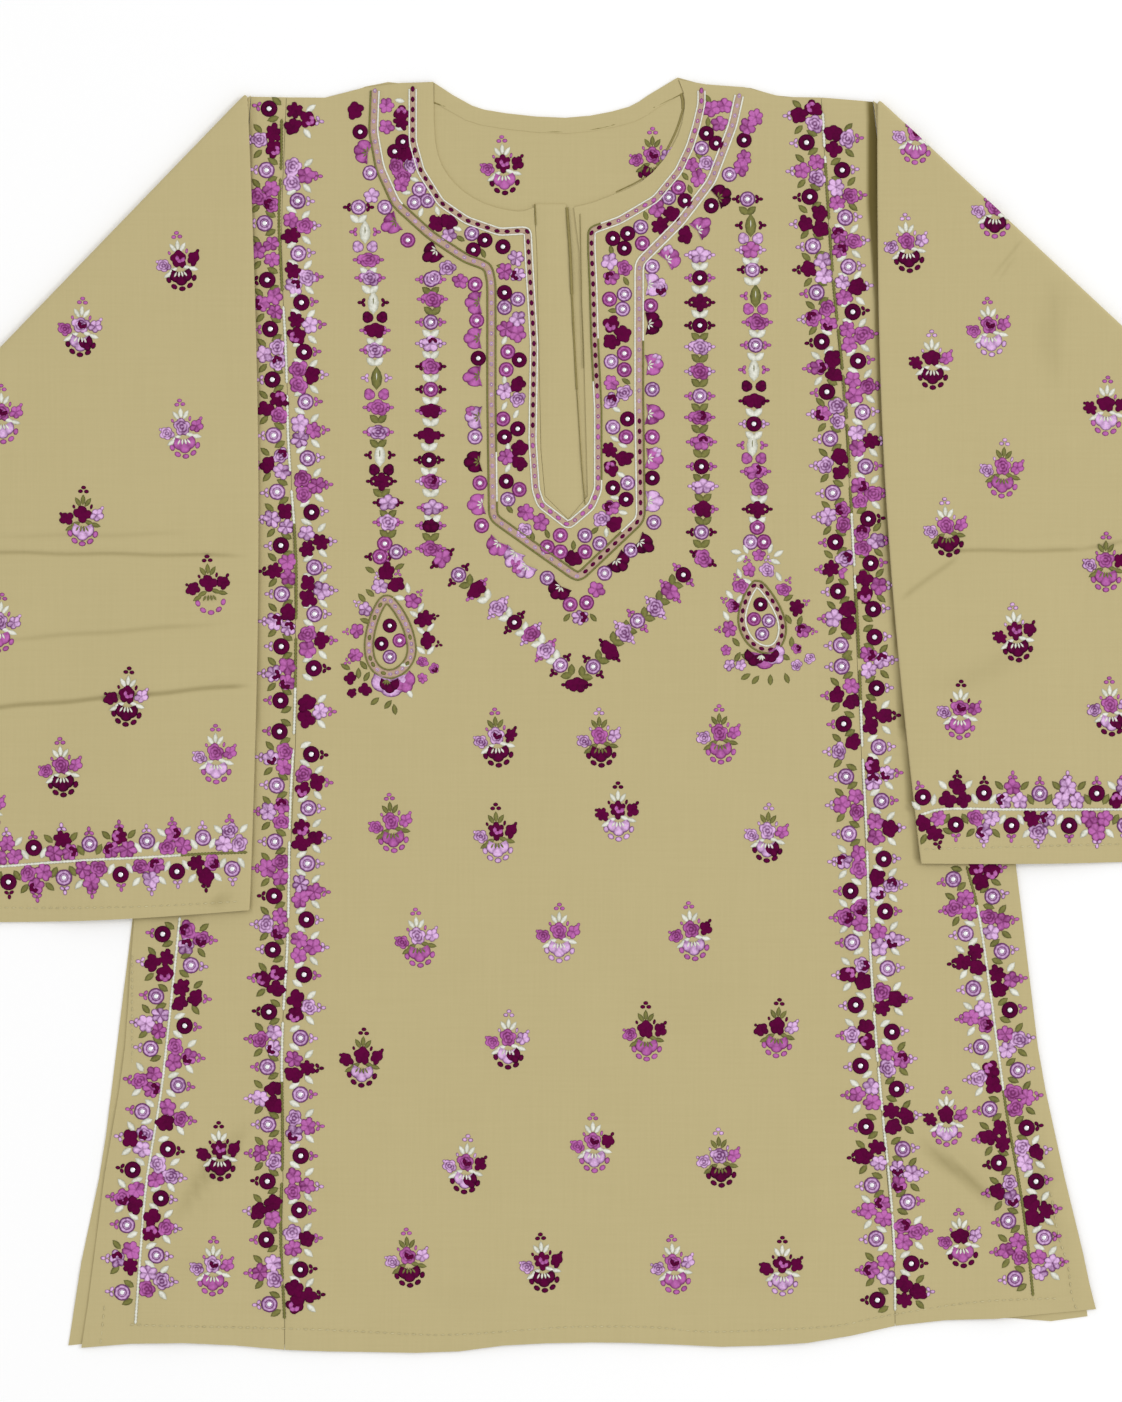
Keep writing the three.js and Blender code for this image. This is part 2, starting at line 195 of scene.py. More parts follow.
def cottonMaterial():
    # plain woven cotton cambric: matt, with fine threads both ways, faint slubs and a dusty edge to the light
    material, tree, shader = newMaterial("khakiCottonCambric")
    where = addNode(tree, "ShaderNodeTexCoord").outputs["Object"]
    weaves, slubs = zip(*[weaveAndSlub(tree, where, direction) for direction in ("X", "Y")])
    weave = calculate(tree, "MULTIPLY", None, {0: weaves[0], 1: weaves[1]})
    slub = calculate(tree, "ADD", None, {0: slubs[0], 1: slubs[1]})
    low, high = cotton["slubRange"]
    streak = addNode(tree, "ShaderNodeMapRange", None, {"From Min": low, "From Max": high}, {"Value": slub})
    cloud = noise(tree, 1 / (cotton["cloudSize"] * mm), 3.0, where)
    haze = calculate(tree, "MULTIPLY", {1: cotton["haze"]}, {0: cloud})
    colour = blend(tree, streak.outputs[0], cotton["slub"], cotton["colour"])
    colour = blend(tree, haze, colour, cotton["pale"])
    # each piece carries how deep its folds lie in their own shade
    fold = addNode(tree, "ShaderNodeAttribute", {"attribute_name": "foldShade"})
    colour = blend(tree, fold.outputs["Fac"], colour, cotton["shade"])
    threadNormal = bump(tree, 0.12, cotton["threadDepth"], weave)
    normal = bump(tree, 0.2, cotton["slubDepth"], slub, threadNormal)
    dressShader(tree, shader, colour, normal, cotton["roughness"], cotton["gloss"])
    shader.inputs["Sheen Weight"].default_value = cotton["sheen"]
    shader.inputs["Sheen Roughness"].default_value = cotton["sheenRoughness"]
    return material


cottonCloth = cottonMaterial()
print("cotton ready")


# Helpers for shaping

def measures(coords):
    # across and up on the garment, in millimetres
    return (coords[:, 0] - originAcross) / mm, (coords[:, 1] - originUp) / mm


def clearSelection():
    if bpy.context.object and bpy.context.object.mode != "OBJECT":
        bpy.ops.object.mode_set(mode="OBJECT")
    bpy.ops.object.select_all(action="DESELECT")


def takeUp(piece):
    clearSelection()
    piece.select_set(True)
    bpy.context.view_layer.objects.active = piece


def editMode(piece):
    takeUp(piece)
    bpy.ops.object.mode_set(mode="EDIT")


def objectMode():
    bpy.ops.object.mode_set(mode="OBJECT")

def applyModifier(piece, kind, **settings):
    takeUp(piece)
    modifier = piece.modifiers.new(kind.title(), kind)
    for name, value in settings.items():
        setattr(modifier, name, value)
    bpy.ops.object.modifier_apply(modifier=modifier.name)


def points(piece):
    coords = np.zeros(len(piece.data.vertices) * 3)
    piece.data.vertices.foreach_get("co", coords)
    return coords.reshape(-1, 3)


def setPoints(piece, coords):
    piece.data.vertices.foreach_set("co", coords.ravel())
    piece.data.update()


def ease(value, start, end):
    share = np.clip((value - start) / (end - start), 0, 1)
    return share * share * (3 - 2 * share)


def topHeights(trees, coords):
    # height of the highest surface under each point, or nothing where there is none
    heights = np.full(len(coords), np.nan)
    above = 1.0
    down = Vector((0, 0, -1))
    for index, (x, y) in enumerate(coords[:, :2]):
        for tree in trees:
            hit = tree.ray_cast(Vector((x, y, above)), down)[0]
            if hit is not None and not heights[index] >= hit.z:
                heights[index] = hit.z
    return heights


def surfaceTree(piece):
    corners = [vertex.co for vertex in piece.data.vertices]
    return BVHTree.FromPolygons(corners, [face.vertices[:] for face in piece.data.polygons])


def copySolid(nodeName, pieceName):
    # a copy of the solid's mesh under the piece's name, joined at its corners and left in edit mode
    piece = bpy.data.objects.new(pieceName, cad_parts[nodeName].data.copy())
    piece.data.name = pieceName
    piece.data.materials.clear()
    bpy.context.scene.collection.objects.link(piece)
    editMode(piece)
    bpy.ops.mesh.select_all(action="SELECT")
    bpy.ops.mesh.remove_doubles(threshold=0.000002)
    return piece


def cutAt(spot, normal):
    bpy.ops.mesh.select_all(action="SELECT")
    bpy.ops.mesh.bisect(plane_co=spot, plane_no=normal)


# Body panels, each cut to its solid's outline

panels = {
    "cell": 5,
    "fineCell": 1.3,
    "wall": 0.6,
    "hemDepth": 11,
    "hemRise": 0.35,
    "hemsEnd": 300,
    "edgeDroop": 0.45,
    "droopReach": 5,
    "smoothing": 14,
    "unevenness": 0.22,
    "troughShade": 0.45,
    "creaseShade": 0.06,
    "sleeveEdge": 4.6,
    "tuckSink": 0.8,
}

# Soft troughs and ridges of the body: from one end to the other, half width and height
bodyCreases = [
    {"start": (-186, 147), "end": (-242, 75), "width": 5, "rise": -0.6},
    {"start": (-180, 137), "end": (-233, 67), "width": 6, "rise": 0.5},
    {"start": (-252, 60), "end": (-205, 48), "width": 8, "rise": 0.4},
    {"start": (213, 135), "end": (273, 83), "width": 4, "rise": -0.8},
    {"start": (221, 140), "end": (281, 90), "width": 5, "rise": 0.5},
    {"start": (296, 105), "end": (309, 52), "width": 5, "rise": 0.8},
    {"start": (283, 142), "end": (297, 80), "width": 6, "rise": -0.4},
    {"start": (-90, 40), "end": (-20, 34), "width": 9, "rise": 0.4},
    {"start": (60, 60), "end": (150, 42), "width": 10, "rise": 0.4},
    {"start": (-130, 330), "end": (-30, 322), "width": 14, "rise": 0.3},
    {"start": (20, 210), "end": (140, 222), "width": 15, "rise": 0.3},
]


def creaseLift(creases, across, up):
    # a crease fades towards its ends over its taper, a share of its length
    lift = np.zeros(len(across))
    for crease in creases:
        start = np.array(crease["start"], float)
        run = np.array(crease["end"], float) - start
        length = np.hypot(*run)
        run /= length
        ahead = (across - start[0]) * run[0] + (up - start[1]) * run[1]
        aside = (up - start[1]) * run[0] - (across - start[0]) * run[1]
        fade = ease(np.minimum(ahead, length - ahead), 0, length * crease.get("taper", 0.4))
        wander = aside + 0.25 * crease["width"] * np.sin(ahead / 9 + start[0])
        lift += crease["rise"] * fade * np.exp(-((wander / crease["width"]) ** 2))
    return lift


def ripple(across, up):
    # low, wide unevenness of cloth that has been smoothed out by hand
    a, b = across / 1000, up / 1000
    waves = np.sin(61 * a + 17 * b + 0.4) * np.sin(47 * b - 11 * a + 1.9)
    waves += 0.6 * np.sin(103 * a - 37 * b + 2.2) * np.sin(89 * b + 29 * a + 0.7)
    waves += 0.35 * np.sin(190 * a + 83 * b) * np.sin(151 * b - 67 * a + 2.6)
    return panels["unevenness"] * waves


def flatOutline(nodeName, pieceName):
    # the solid's top, laid flat and freed of the edges inside its outline
    piece = copySolid(nodeName, pieceName)
    bpy.ops.mesh.select_mode(type="FACE")
    bpy.ops.mesh.select_all(action="DESELECT")
    objectMode()
    for face in piece.data.polygons:
        face.select = face.normal.z < 0.5
    editMode(piece)
    bpy.ops.mesh.delete(type="FACE")
    objectMode()
    coords = points(piece)
    coords[:, 2] = 0
    setPoints(piece, coords)
    editMode(piece)
    bpy.ops.mesh.select_all(action="SELECT")
    bpy.ops.mesh.dissolve_limited(angle_limit=math.radians(1), use_dissolve_boundaries=False)
    objectMode()
    return piece


def cutIntoCells(piece, fineStretch=None):
    low, high = points(piece).min(0), points(piece).max(0)
    cell = panels["cell"]
    cuts = [(axis, low[axis] + step * cell * mm) for axis in (0, 1)
            for step in range(1, int((high[axis] - low[axis]) / (cell * mm)) + 1)]
    if fineStretch:
        start, stop = (originAcross + across * mm for across in fineStretch)
        cuts += [(0, float(across)) for across in np.arange(start, stop, panels["fineCell"] * mm)]
    editMode(piece)
    for axis, reach in cuts:
        spot = [0, 0, 0]
        normal = [0, 0, 0]
        spot[axis] = reach
        normal[axis] = 1
        cutAt(spot, normal)
    objectMode()


def edgeDistance(piece, coords):
    # how far each point lies from the outline, in millimetres, up to a little more than a hem
    counts = {}
    for face in piece.data.polygons:
        for key in face.edge_keys:
            counts[key] = counts.get(key, 0) + 1
    rim = sorted({index for key, count in counts.items() if count == 1 for index in key})
    tree = KDTree(len(rim))
    for index in rim:
        tree.insert(coords[index], index)
    tree.balance()
    return np.array([tree.find(point)[2] for point in coords]) / mm


def besideSleeve(sleeve, up, coords, tuck):
    # how deep the body lies in the shade of a sleeve's folded edge
    tree = surfaceTree(sleeve)
    edge = panels["sleeveEdge"] * mm
    reach = np.array([tree.find_nearest(Vector((x, y, edge)))[3] for x, y in coords[:, :2]]) / mm
    heights, widths, depths = zip(*tuck)
    width = np.interp(up, heights, widths)
    return np.interp(up, heights, depths) * np.clip(2.6 * (1 - reach / width), 0, 1)


def storeShade(piece, values):
    attribute = piece.data.attributes.new("foldShade", "FLOAT", "POINT")
    attribute.data.foreach_set("value", np.clip(values, 0, 1).astype(float))


def bodyPanel(nodeName, pieceName, sink, hem=True, sleeve=None, tuck=None, fineStretch=None):
    piece = flatOutline(nodeName, pieceName)
    cutIntoCells(piece, fineStretch)
    coords = points(piece)
    heights = topHeights([surfaceTree(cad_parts[nodeName])], coords)
    heights[np.isnan(heights)] = np.nanmin(heights)
    fromRim = edgeDistance(piece, coords)
    coords[:, 2] = heights
    setPoints(piece, coords)
    applyModifier(piece, "SMOOTH", factor=0.5, iterations=panels["smoothing"], use_x=False, use_y=False)
    coords = points(piece)
    across, up = measures(coords)
    creases = creaseLift(bodyCreases, across, up)
    lift = ripple(across, up) + creases - sink
    lift -= panels["edgeDroop"] * (1 - ease(fromRim, 0, panels["droopReach"]))
    if hem:
        depth = panels["hemDepth"]
        lift += panels["hemRise"] * (1 - ease(fromRim, depth - 1, depth + 1)) * (up < panels["hemsEnd"])
    shade = panels["troughShade"] * np.clip(-creases, 0, 1) + panels["creaseShade"] * np.abs(creases)
    if sleeve:
        shade += besideSleeve(sleeve, up, coords, tuck)
        lift -= panels["tuckSink"] * np.clip(shade - 0.3, 0, 1)
    coords[:, 2] = np.maximum(coords[:, 2] + lift * mm, (panels["wall"] + 0.02) * mm)
    setPoints(piece, coords)
    storeShade(piece, shade)
    applyModifier(piece, "SOLIDIFY", thickness=panels["wall"] * mm, offset=-1)
    finishCloth(piece, nodeName)
    return piece


def finishCloth(piece, nodeName):
    piece.data.materials.append(cottonCloth)
    takeUp(piece)
    bpy.ops.object.shade_smooth_by_angle(angle=math.radians(50))
    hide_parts(nodeName)
    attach(piece, "root")


# Sleeves, each a tube folded flat, with its lower half lying over the body

sleeveShape = {"levels": 2, "unevenness": 0.12, "sharpWidth": 3, "shade": 0.48}

sleeveCreases = [
    {"start": (-420, 492), "end": (-188, 489), "width": 2.4, "rise": 0.5, "taper": 0.1},
    {"start": (-420, 488.5), "end": (-188, 485.5), "width": 1.3, "rise": -0.7, "taper": 0.1},
    {"start": (-360, 497), "end": (-215, 499), "width": 1.6, "rise": -0.25, "taper": 0.3},
    {"start": (-360, 433), "end": (-196, 445), "width": 1.5, "rise": -0.4, "taper": 0.3},
    {"start": (-420, 386), "end": (-188, 407), "width": 1.5, "rise": -0.9, "taper": 0.06},
    {"start": (-420, 382), "end": (-188, 403), "width": 2.6, "rise": 0.5, "taper": 0.06},
    {"start": (-217, 271), "end": (-199, 280), "width": 3.2, "rise": -0.5},
    {"start": (-330, 640), "end": (-290, 600), "width": 9, "rise": 0.4},
    {"start": (-255, 560), "end": (-245, 500), "width": 12, "rise": 0.3},
    {"start": (228, 492), "end": (322, 492.5), "width": 2.2, "rise": 0.5, "taper": 0.15},
    {"start": (228, 488.5), "end": (322, 489), "width": 1.3, "rise": -0.7, "taper": 0.15},
    {"start": (314, 489), "end": (350, 496), "width": 1.4, "rise": -0.45, "taper": 0.2},
    {"start": (204, 457), "end": (243, 487), "width": 1.6, "rise": -0.45, "taper": 0.2},
    {"start": (262, 655), "end": (281, 680), "width": 1.1, "rise": -0.25, "taper": 0.2},
    {"start": (267, 655), "end": (276, 668), "width": 1.1, "rise": -0.2, "taper": 0.2},
    {"start": (298, 664), "end": (299, 580), "width": 6, "rise": -0.3},
    {"start": (218, 402), "end": (296, 430), "width": 7, "rise": -0.2},
    {"start": (330, 470), "end": (425, 478), "width": 6, "rise": 0.4},
    {"start": (340, 404), "end": (428, 396), "width": 5, "rise": -0.4},
    {"start": (232, 352), "end": (250, 345), "width": 4, "rise": -0.3},
]


def cutAlongCreases(piece, creases):
    # sharp creases need narrow cells beside them
    across = measures(points(piece))[0]
    editMode(piece)
    for crease in creases:
        start = np.array(crease["start"], float)
        run = np.array(crease["end"], float) - start
        onPiece = across.min() < start[0] + run[0] / 2 < across.max()
        if crease["width"] > sleeveShape["sharpWidth"] or not onPiece:
            continue
        aside = np.array([-run[1], run[0]]) / np.hypot(*run)
        for share in (-2, -1.2, -0.6, 0, 0.6, 1.2, 2):
            x, y = place(*(start + aside * share * crease["width"]))
            cutAt((float(x), float(y), 0), (float(aside[0]), float(aside[1]), 0))
    objectMode()


def sleeveTube(nodeName, pieceName):
    piece = copySolid(nodeName, pieceName)
    bpy.ops.mesh.tris_convert_to_quads(face_threshold=math.radians(60), shape_threshold=math.radians(120))
    objectMode()
    levels = sleeveShape["levels"]
    applyModifier(piece, "SUBSURF", levels=levels, render_levels=levels)
    cutAlongCreases(piece, sleeveCreases)
    coords = points(piece)
    across, up = measures(coords)
    gap = np.nan_to_num((topHeights([surfaceTree(piece)], coords) - coords[:, 2]) / mm, nan=9.0)
    onTop = 1 - ease(gap, 0.1, 0.5)
    creases = creaseLift(sleeveCreases, across, up)
    coords[:, 2] += onTop * (creases + sleeveShape["unevenness"] * ripple(across, up)) * mm
    setPoints(piece, coords)
    storeShade(piece, onTop * sleeveShape["shade"] * np.clip(-creases, 0, 1))
    finishCloth(piece, nodeName)
    print(pieceName, len(piece.data.polygons), "faces")
    return piece


sleeveLeft = sleeveTube("sleeve_left", "sleeveLeft")
sleeveRight = sleeveTube("sleeve_right", "sleeveRight")
print("sleeves folded")

# Height, width and depth of the shade along the sleeves' folded edges
leftTuck = [(280, 1.0, 0.3), (500, 1.1, 0.3), (770, 1.4, 0.4)]
rightTuck = [
    (320, 1.8, 0.55), (560, 2.0, 0.65), (640, 2.6, 0.75), (665, 4.2, 0.9), (700, 7.2, 1.0), (750, 7.0, 1.0),
    (770, 5.0, 0.95),
]

backPanel = bodyPanel("back", "backPanel", 0.4)
print("back panel laid")
frontCentre = bodyPanel("front_centre", "frontCentre", 0.6)
frontSideLeft = bodyPanel(
    "front_side_left", "frontSideLeft", 0.6, sleeve=sleeveLeft, tuck=leftTuck, fineStretch=(-196, -185)
)
frontSideRight = bodyPanel(
    "front_side_right", "frontSideRight", 0.6, sleeve=sleeveRight, tuck=rightTuck, fineStretch=(181, 204)
)
print("front panels laid")
neckFacing = bodyPanel("back_neck_facing", "neckFacing", 1.2, hem=False)
slitStrip = bodyPanel("slit_strip", "slitStrip", 0.9, hem=False)
print("facing and slit strip laid")


# Heights of the cloth that carries needlework

layerStep = 2.5
gapRounds = 5


def highestBeside(field):
    rows, columns = field.shape
    padded = np.pad(field, 1, mode="edge")
    return np.max([padded[i:i + rows, j:j + columns] for i in range(3) for j in range(3)], axis=0)


def heightMap(pieces, acrossEnds, upEnds):
    # the cloth's top under an even grid of places; gaps are filled from their neighbours
    across = np.arange(acrossEnds[0], acrossEnds[1] + layerStep, layerStep)
    up = np.arange(upEnds[0], upEnds[1] + layerStep, layerStep)
    gridUp, gridAcross = np.meshgrid(up, across, indexing="ij")
    spots = np.stack(place(gridAcross.ravel(), gridUp.ravel()), 1)
    found = topHeights([surfaceTree(piece) for piece in pieces], spots).reshape(gridUp.shape) / mm
    present = ~np.isnan(found)
    filled = np.where(present, found, -1.0)
    for _ in range(gapRounds):
        filled = np.where(filled < 0, highestBeside(filled), filled)
    return {"across": across[0], "up": up[0], "present": present, "height": highestBeside(filled)}


def onLayer(layer, across, up):
    field = layers[layer]
    row = int(round((up - field["up"]) / layerStep))
    column = int(round((across - field["across"]) / layerStep))
    rows, columns = field["present"].shape
    return 0 <= row < rows and 0 <= column < columns and bool(field["present"][row, column])


def ground(layer, across, up):
    field = layers[layer]
    rows, columns = field["height"].shape
    row = np.clip((up - field["up"]) / layerStep, 0, rows - 1.001)
    column = np.clip((across - field["across"]) / layerStep, 0, columns - 1.001)
    i, j = row.astype(int), column.astype(int)
    a, b = row - i, column - j
    h = field["height"]
    return (h[i, j] * (1 - a) + h[i + 1, j] * a) * (1 - b) + (h[i, j + 1] * (1 - a) + h[i + 1, j + 1] * a) * b


fronts = [frontCentre, frontSideLeft, frontSideRight]
layers = {
    "front": heightMap(fronts, (-305, 325), (0, 778)),
    "back": heightMap([backPanel], (-110, 100), (670, 778)),
    "leftFlap": heightMap([sleeveLeft], (-425, -185), (255, 778)),
    "rightFlap": heightMap([sleeveRight], (195, 435), (290, 778)),
}
print("cloth heights measured")


# Needlework forms, one unit wide. Their points carry a height in millimetres, how deep the thread's colour is
# there, with painted shade at rims and edges, and how far along the stitches they lie.

def roundForm(
    radii, heights, tones, sides, lobes=0, notch=0.0, spread=360, furrow=0.5, uneven=0.0, mottle=0.0
):
    turns = np.radians(np.linspace(-spread / 2, spread / 2, sides + 1) + 90)
    aside = turns - math.pi / 2
    wave = np.abs(np.cos(lobes * aside / 2)) if lobes else np.ones(len(turns))
    petal = np.floor(aside * lobes / (2 * math.pi) + 0.5).astype(int) % max(lobes, 1)
    petalTone = np.array([dice.uniform(-mottle, mottle) for _ in range(max(lobes, 1))])[petal]
    swing = np.sin(2 * turns + dice.uniform(0, 6)) + 0.7 * np.sin(3 * turns + dice.uniform(0, 6))
    rim = (1 + uneven * swing) * (1 - notch * (1 - wave ** 0.6))
    even = 0 * turns
    spots, faces = [], []
    for radius, height, tone in zip(radii, heights, tones):
        inner = 0 < radius < 0.95
        reach = radius * (1 + (rim - 1) * min(1, radius * 1.3))
        # the dark tone at the rim and in the furrows between lobes is painted shade where the stitches dive
        # into the cloth
        depth = np.clip(tone + inner * (furrow * (1 - wave) + petalTone), 0, 1)
        x, y = reach * np.cos(turns), reach * np.sin(turns)
        spots.append(np.stack([x, y, even + height, depth, even + radius], 1))
    width = sides + 1
    for band in range(len(radii) - 1):
        for side in range(sides):
            a = band * width + side
            b = a + width
            if radii[band] > 0:
                faces.append((a, b, a + 1))
            faces.append((a + 1, b, b + 1))
    return {"spots": np.concatenate(spots), "faces": np.array(faces)}


# across a leaf its edges are painted darker, as shade where the stitches dive into the cloth
leafSection = ((-1, 0.05, 0.75), (-0.5, 0.3, 0.2), (0, 0.36, 0.0), (0.5, 0.3, 0.25), (1, 0.05, 0.8))


def leafForm(fullness):
    spots = [(0, -1, 0.08, 0.5)]
    for along, width in ((-0.55, fullness), (0, 1), (0.5, 0.72)):
        for side, height, tone in leafSection:
            spots.append((side * width, along, height, tone))
    spots.append((0, 1, 0.06, 0.6))
    faces = []
    for side in range(4):
        faces.append((0, 2 + side, 1 + side))
        faces.append((16, 11 + side, 12 + side))
        for row in (0, 5):
            a = 1 + row + side
            faces.append((a, a + 1, a + 6))
            faces.append((a, a + 6, a + 5))
    spots = np.array(spots, float)
    lines = spots[:, 1] + 0.5 * np.abs(spots[:, 0])
    return {"spots": np.column_stack([spots, lines]), "faces": np.array(faces)}


# Columns: radii, heights, tones, sides, lobes, notch, spread, furrow. Every form takes its draws in turn, so
# the plain bloom, daisy and rose stay, though only their uneven sisters below are sewn.
roundForms = {
    "bloom": ((0, 0.3, 0.74, 0.88, 1, 1.03), (0.34, 0.46, 0.46, 0.38, 0.14, -0.25),
              (0.8, 0.2, 0.0, 0.25, 1, 1),
              20, 5, 0.17),
    "daisy": ((0, 0.26, 0.74, 0.88, 1, 1.03), (0.3, 0.44, 0.44, 0.36, 0.12, -0.25), (1, 0.15, 0.0, 0.2, 1, 1),
              24, 6, 0.2),
    "rose": ((0, 0.22, 0.42, 0.58, 0.76, 0.88, 1, 1.03), (0.5, 0.36, 0.48, 0.34, 0.44, 0.36, 0.12, -0.25),
             (0.2, 1, 0.05, 0.75, 0.0, 0.2, 1, 1), 15, 5, 0.12),
    "bud": ((0, 0.45, 0.8, 1, 1.04), (0.4, 0.42, 0.34, 0.1, -0.25), (0.5, 0.0, 0.15, 1, 1), 12, 3, 0.12),
    "fan": ((0, 0.4, 0.78, 0.9, 1, 1.03), (0.2, 0.44, 0.44, 0.36, 0.12, -0.25), (0.6, 0.1, 0.0, 0.25, 1, 1),
            20, 5, 0.17, 230),
    "disc": ((0.3, 0.36, 0.6, 0.84, 1, 1.04), (0.1, 0.5, 0.56, 0.48, 0.16, -0.25),
             (1, 0.7, 0.2, 0.25, 0.8, 1), 18),
    "ring": ((0.26, 0.33, 0.42, 0.5, 0.6, 0.76, 0.87, 1, 1.04),
             (0.1, 0.42, 0.42, 0.34, 0.42, 0.5, 0.4, 0.14, -0.25),
             (1, 0.3, 0.15, 1, 0.2, 0.0, 0.75, 1, 1), 18, 7, 0.03, 360, 0.3),
    "mirror": ((0, 0.9, 1), (0.3, 0.3, 0.1), (0, 0, 1), 10),
    "dot": ((0, 0.62, 1, 1.06), (0.34, 0.28, 0.05, -0.25), (0.0, 0.2, 1, 1), 8),
    "eyelet": ((0.36, 0.62, 1), (0.1, 0.32, 0.02), (1, 0.1, 1), 8),
}
forms = {name: roundForm(*parts) for name, parts in roundForms.items()}
forms["leaf"] = leafForm(0.8)
forms["stroke"] = leafForm(0.6)

# No two sewn flowers are alike, so each kind has four uneven ones, with their own number of lobes. They add
# unevenness and mottling to the columns above. A clump is solid, with hardly a line in it.
flowerKinds = {
    "bloom": ((0, 0.3, 0.7, 0.86, 1, 1.03), (0.34, 0.46, 0.46, 0.38, 0.14, -0.25),
              (0.75, 0.15, 0.0, 0.25, 1, 1),
              20, (5, 5, 5, 5), 0.24, 360, 0.6, 0.06, 0.36),
    "daisy": ((0, 0.26, 0.7, 0.86, 1, 1.03), (0.3, 0.44, 0.44, 0.36, 0.12, -0.25),
              (0.9, 0.15, 0.0, 0.25, 1, 1),
              24, (6, 6, 6, 6), 0.24, 360, 0.6, 0.07, 0.36),
    "rose": ((0, 0.22, 0.42, 0.58, 0.76, 0.88, 1, 1.03), (0.5, 0.36, 0.48, 0.34, 0.44, 0.36, 0.12, -0.25),
             (0.1, 0.9, 0.05, 0.75, 0.0, 0.25, 1, 1), 20, (5, 5, 5, 5), 0.2, 360, 0.45, 0.08, 0.34),
    "clump": ((0, 0.45, 0.8, 0.92, 1, 1.03), (0.46, 0.5, 0.46, 0.38, 0.14, -0.25),
              (0.2, 0.0, 0.05, 0.2, 0.7, 1),
              24, (5, 6, 4, 5), 0.3, 360, 0.16, 0.09, 0.14),
}
kinds = {kind: [] for kind in flowerKinds}
for number in range(4):
    for kind, (radii, heights, tones, sides, lobes, *uneven) in flowerKinds.items():
        name = kind + str(number)
        forms[name] = roundForm(radii, heights, tones, sides, lobes[number], *uneven)
        kinds[kind].append(name)


# The sleeves' sloped folds, as the across place of the fold for any height

def foldLine(layer, side, low=610, high=745):
    field = layers[layer]
    rows = [row for row in range(len(field["present"])) if low < field["up"] + row * layerStep < high]
    ends = [np.flatnonzero(field["present"][row])[-1 if side > 0 else 0] for row in rows]
    up = [field["up"] + row * layerStep for row in rows]
    slope, offset = np.polyfit(up, field["across"] + (np.array(ends) + 0.5 * side) * layerStep, 1)
    return {"side": side, "slope": slope, "offset": offset}


folds = {"leftFlap": foldLine("leftFlap", -1), "rightFlap": foldLine("rightFlap", 1)}


def beyondFold(layer, across, up):
    fold = folds[layer]
    return fold["side"] * (across - fold["slope"] * up - fold["offset"])


# Thread by thread, everything sewn is gathered and becomes one mesh at the end

threadNames = ("wine", "orchid", "lavender", "white", "olive", "couched", "mirror", "seam", "edge")
sewn = {name: {"spots": [], "stitch": [], "faces": [], "count": 0} for name in threadNames}


def gather(thread, spots, stitch, faces):
    pile = sewn[thread]
    pile["spots"].append(spots)
    pile["stitch"].append(stitch)
    pile["faces"].append(faces + pile["count"])
    pile["count"] += len(spots)


lengthwise = ("disc", "ring", "eyelet", "leaf", "stroke")
fivePlaces = ((0, 0), (1, 0), (-1, 0), (0, 1), (0, -1))
foldsFrom = 450


def sew(thread, form, across, up, size, turn=0.0, layer="front", lift=0.0):
    # what doesn't lie on its cloth is left out, and what crosses a fold is cut off at the fold's line
    wide, long = size if isinstance(size, tuple) else (size, size)
    room = 0.6 * min(wide, long)
    atFold = layer in folds and up > foldsFrom and beyondFold(layer, across, up) > -1.6 * max(wide, long)
    if atFold:
        if beyondFold(layer, across, up) > room:
            return
    elif not all(onLayer(layer, across + a * room, up + b * room) for a, b in fivePlaces):
        return
    spots = forms[form]["spots"]
    angle = math.radians(turn)
    a, b = spots[:, 0] * wide, spots[:, 1] * long
    x = across + a * math.cos(angle) - b * math.sin(angle)
    y = up + a * math.sin(angle) + b * math.cos(angle)
    z = ground(layer, x, y) + spots[:, 2] + lift
    if atFold:
        x = x - folds[layer]["side"] * np.maximum(beyondFold(layer, x, y) + 0.3, 0)
    lines = spots[:, 4] * long if form in lengthwise or form[:4] == "rose" else a
    shade = dice.uniform(-0.1, 0.14) + 0.12 * (form == "ring")
    stitch = np.stack([lines + dice.uniform(0, 9), spots[:, 3], 0 * lines + shade], 1)
    gather(thread, np.stack([x, y, z], 1), stitch, forms[form]["faces"])


def resample(path, step, closed=False):
    path = np.array(path, float)
    if closed:
        path = np.concatenate([path, path[:1]])
    lengths = np.concatenate([[0], np.cumsum(np.hypot(*np.diff(path, axis=0).T))])
    count = max(2, int(lengths[-1] / step) + 1)
    marks = np.linspace(0, lengths[-1], count)
    return np.stack([np.interp(marks, lengths, path[:, i]) for i in (0, 1)], 1), marks


def softened(path, reach=3.0, closed=False):
    # corners are cut twice, each no farther back than its reach, so that few points make a soft curve
    path = np.array(path, float)
    for _ in range(2):
        following = np.roll(path, -1, axis=0) if closed else path[1:]
        current = path if closed else path[:-1]
        span = following - current
        share = np.minimum(0.25, reach / np.maximum(np.hypot(*span.T), 1e-6))[:, None]
        cut = np.stack([current + share * span, following - share * span], 1).reshape(-1, 2)
        path = cut if closed else np.concatenate([path[:1], cut, path[-1:]])
    return path


def sideways(path, closed=False):
    if closed:
        run = np.roll(path, -1, axis=0) - np.roll(path, 1, axis=0)
    else:
        run = np.gradient(path, axis=0)
    run = run / np.maximum(np.hypot(*run.T), 1e-9)[:, None]
    return np.stack([-run[:, 1], run[:, 0]], 1)


stripStep = 2.0


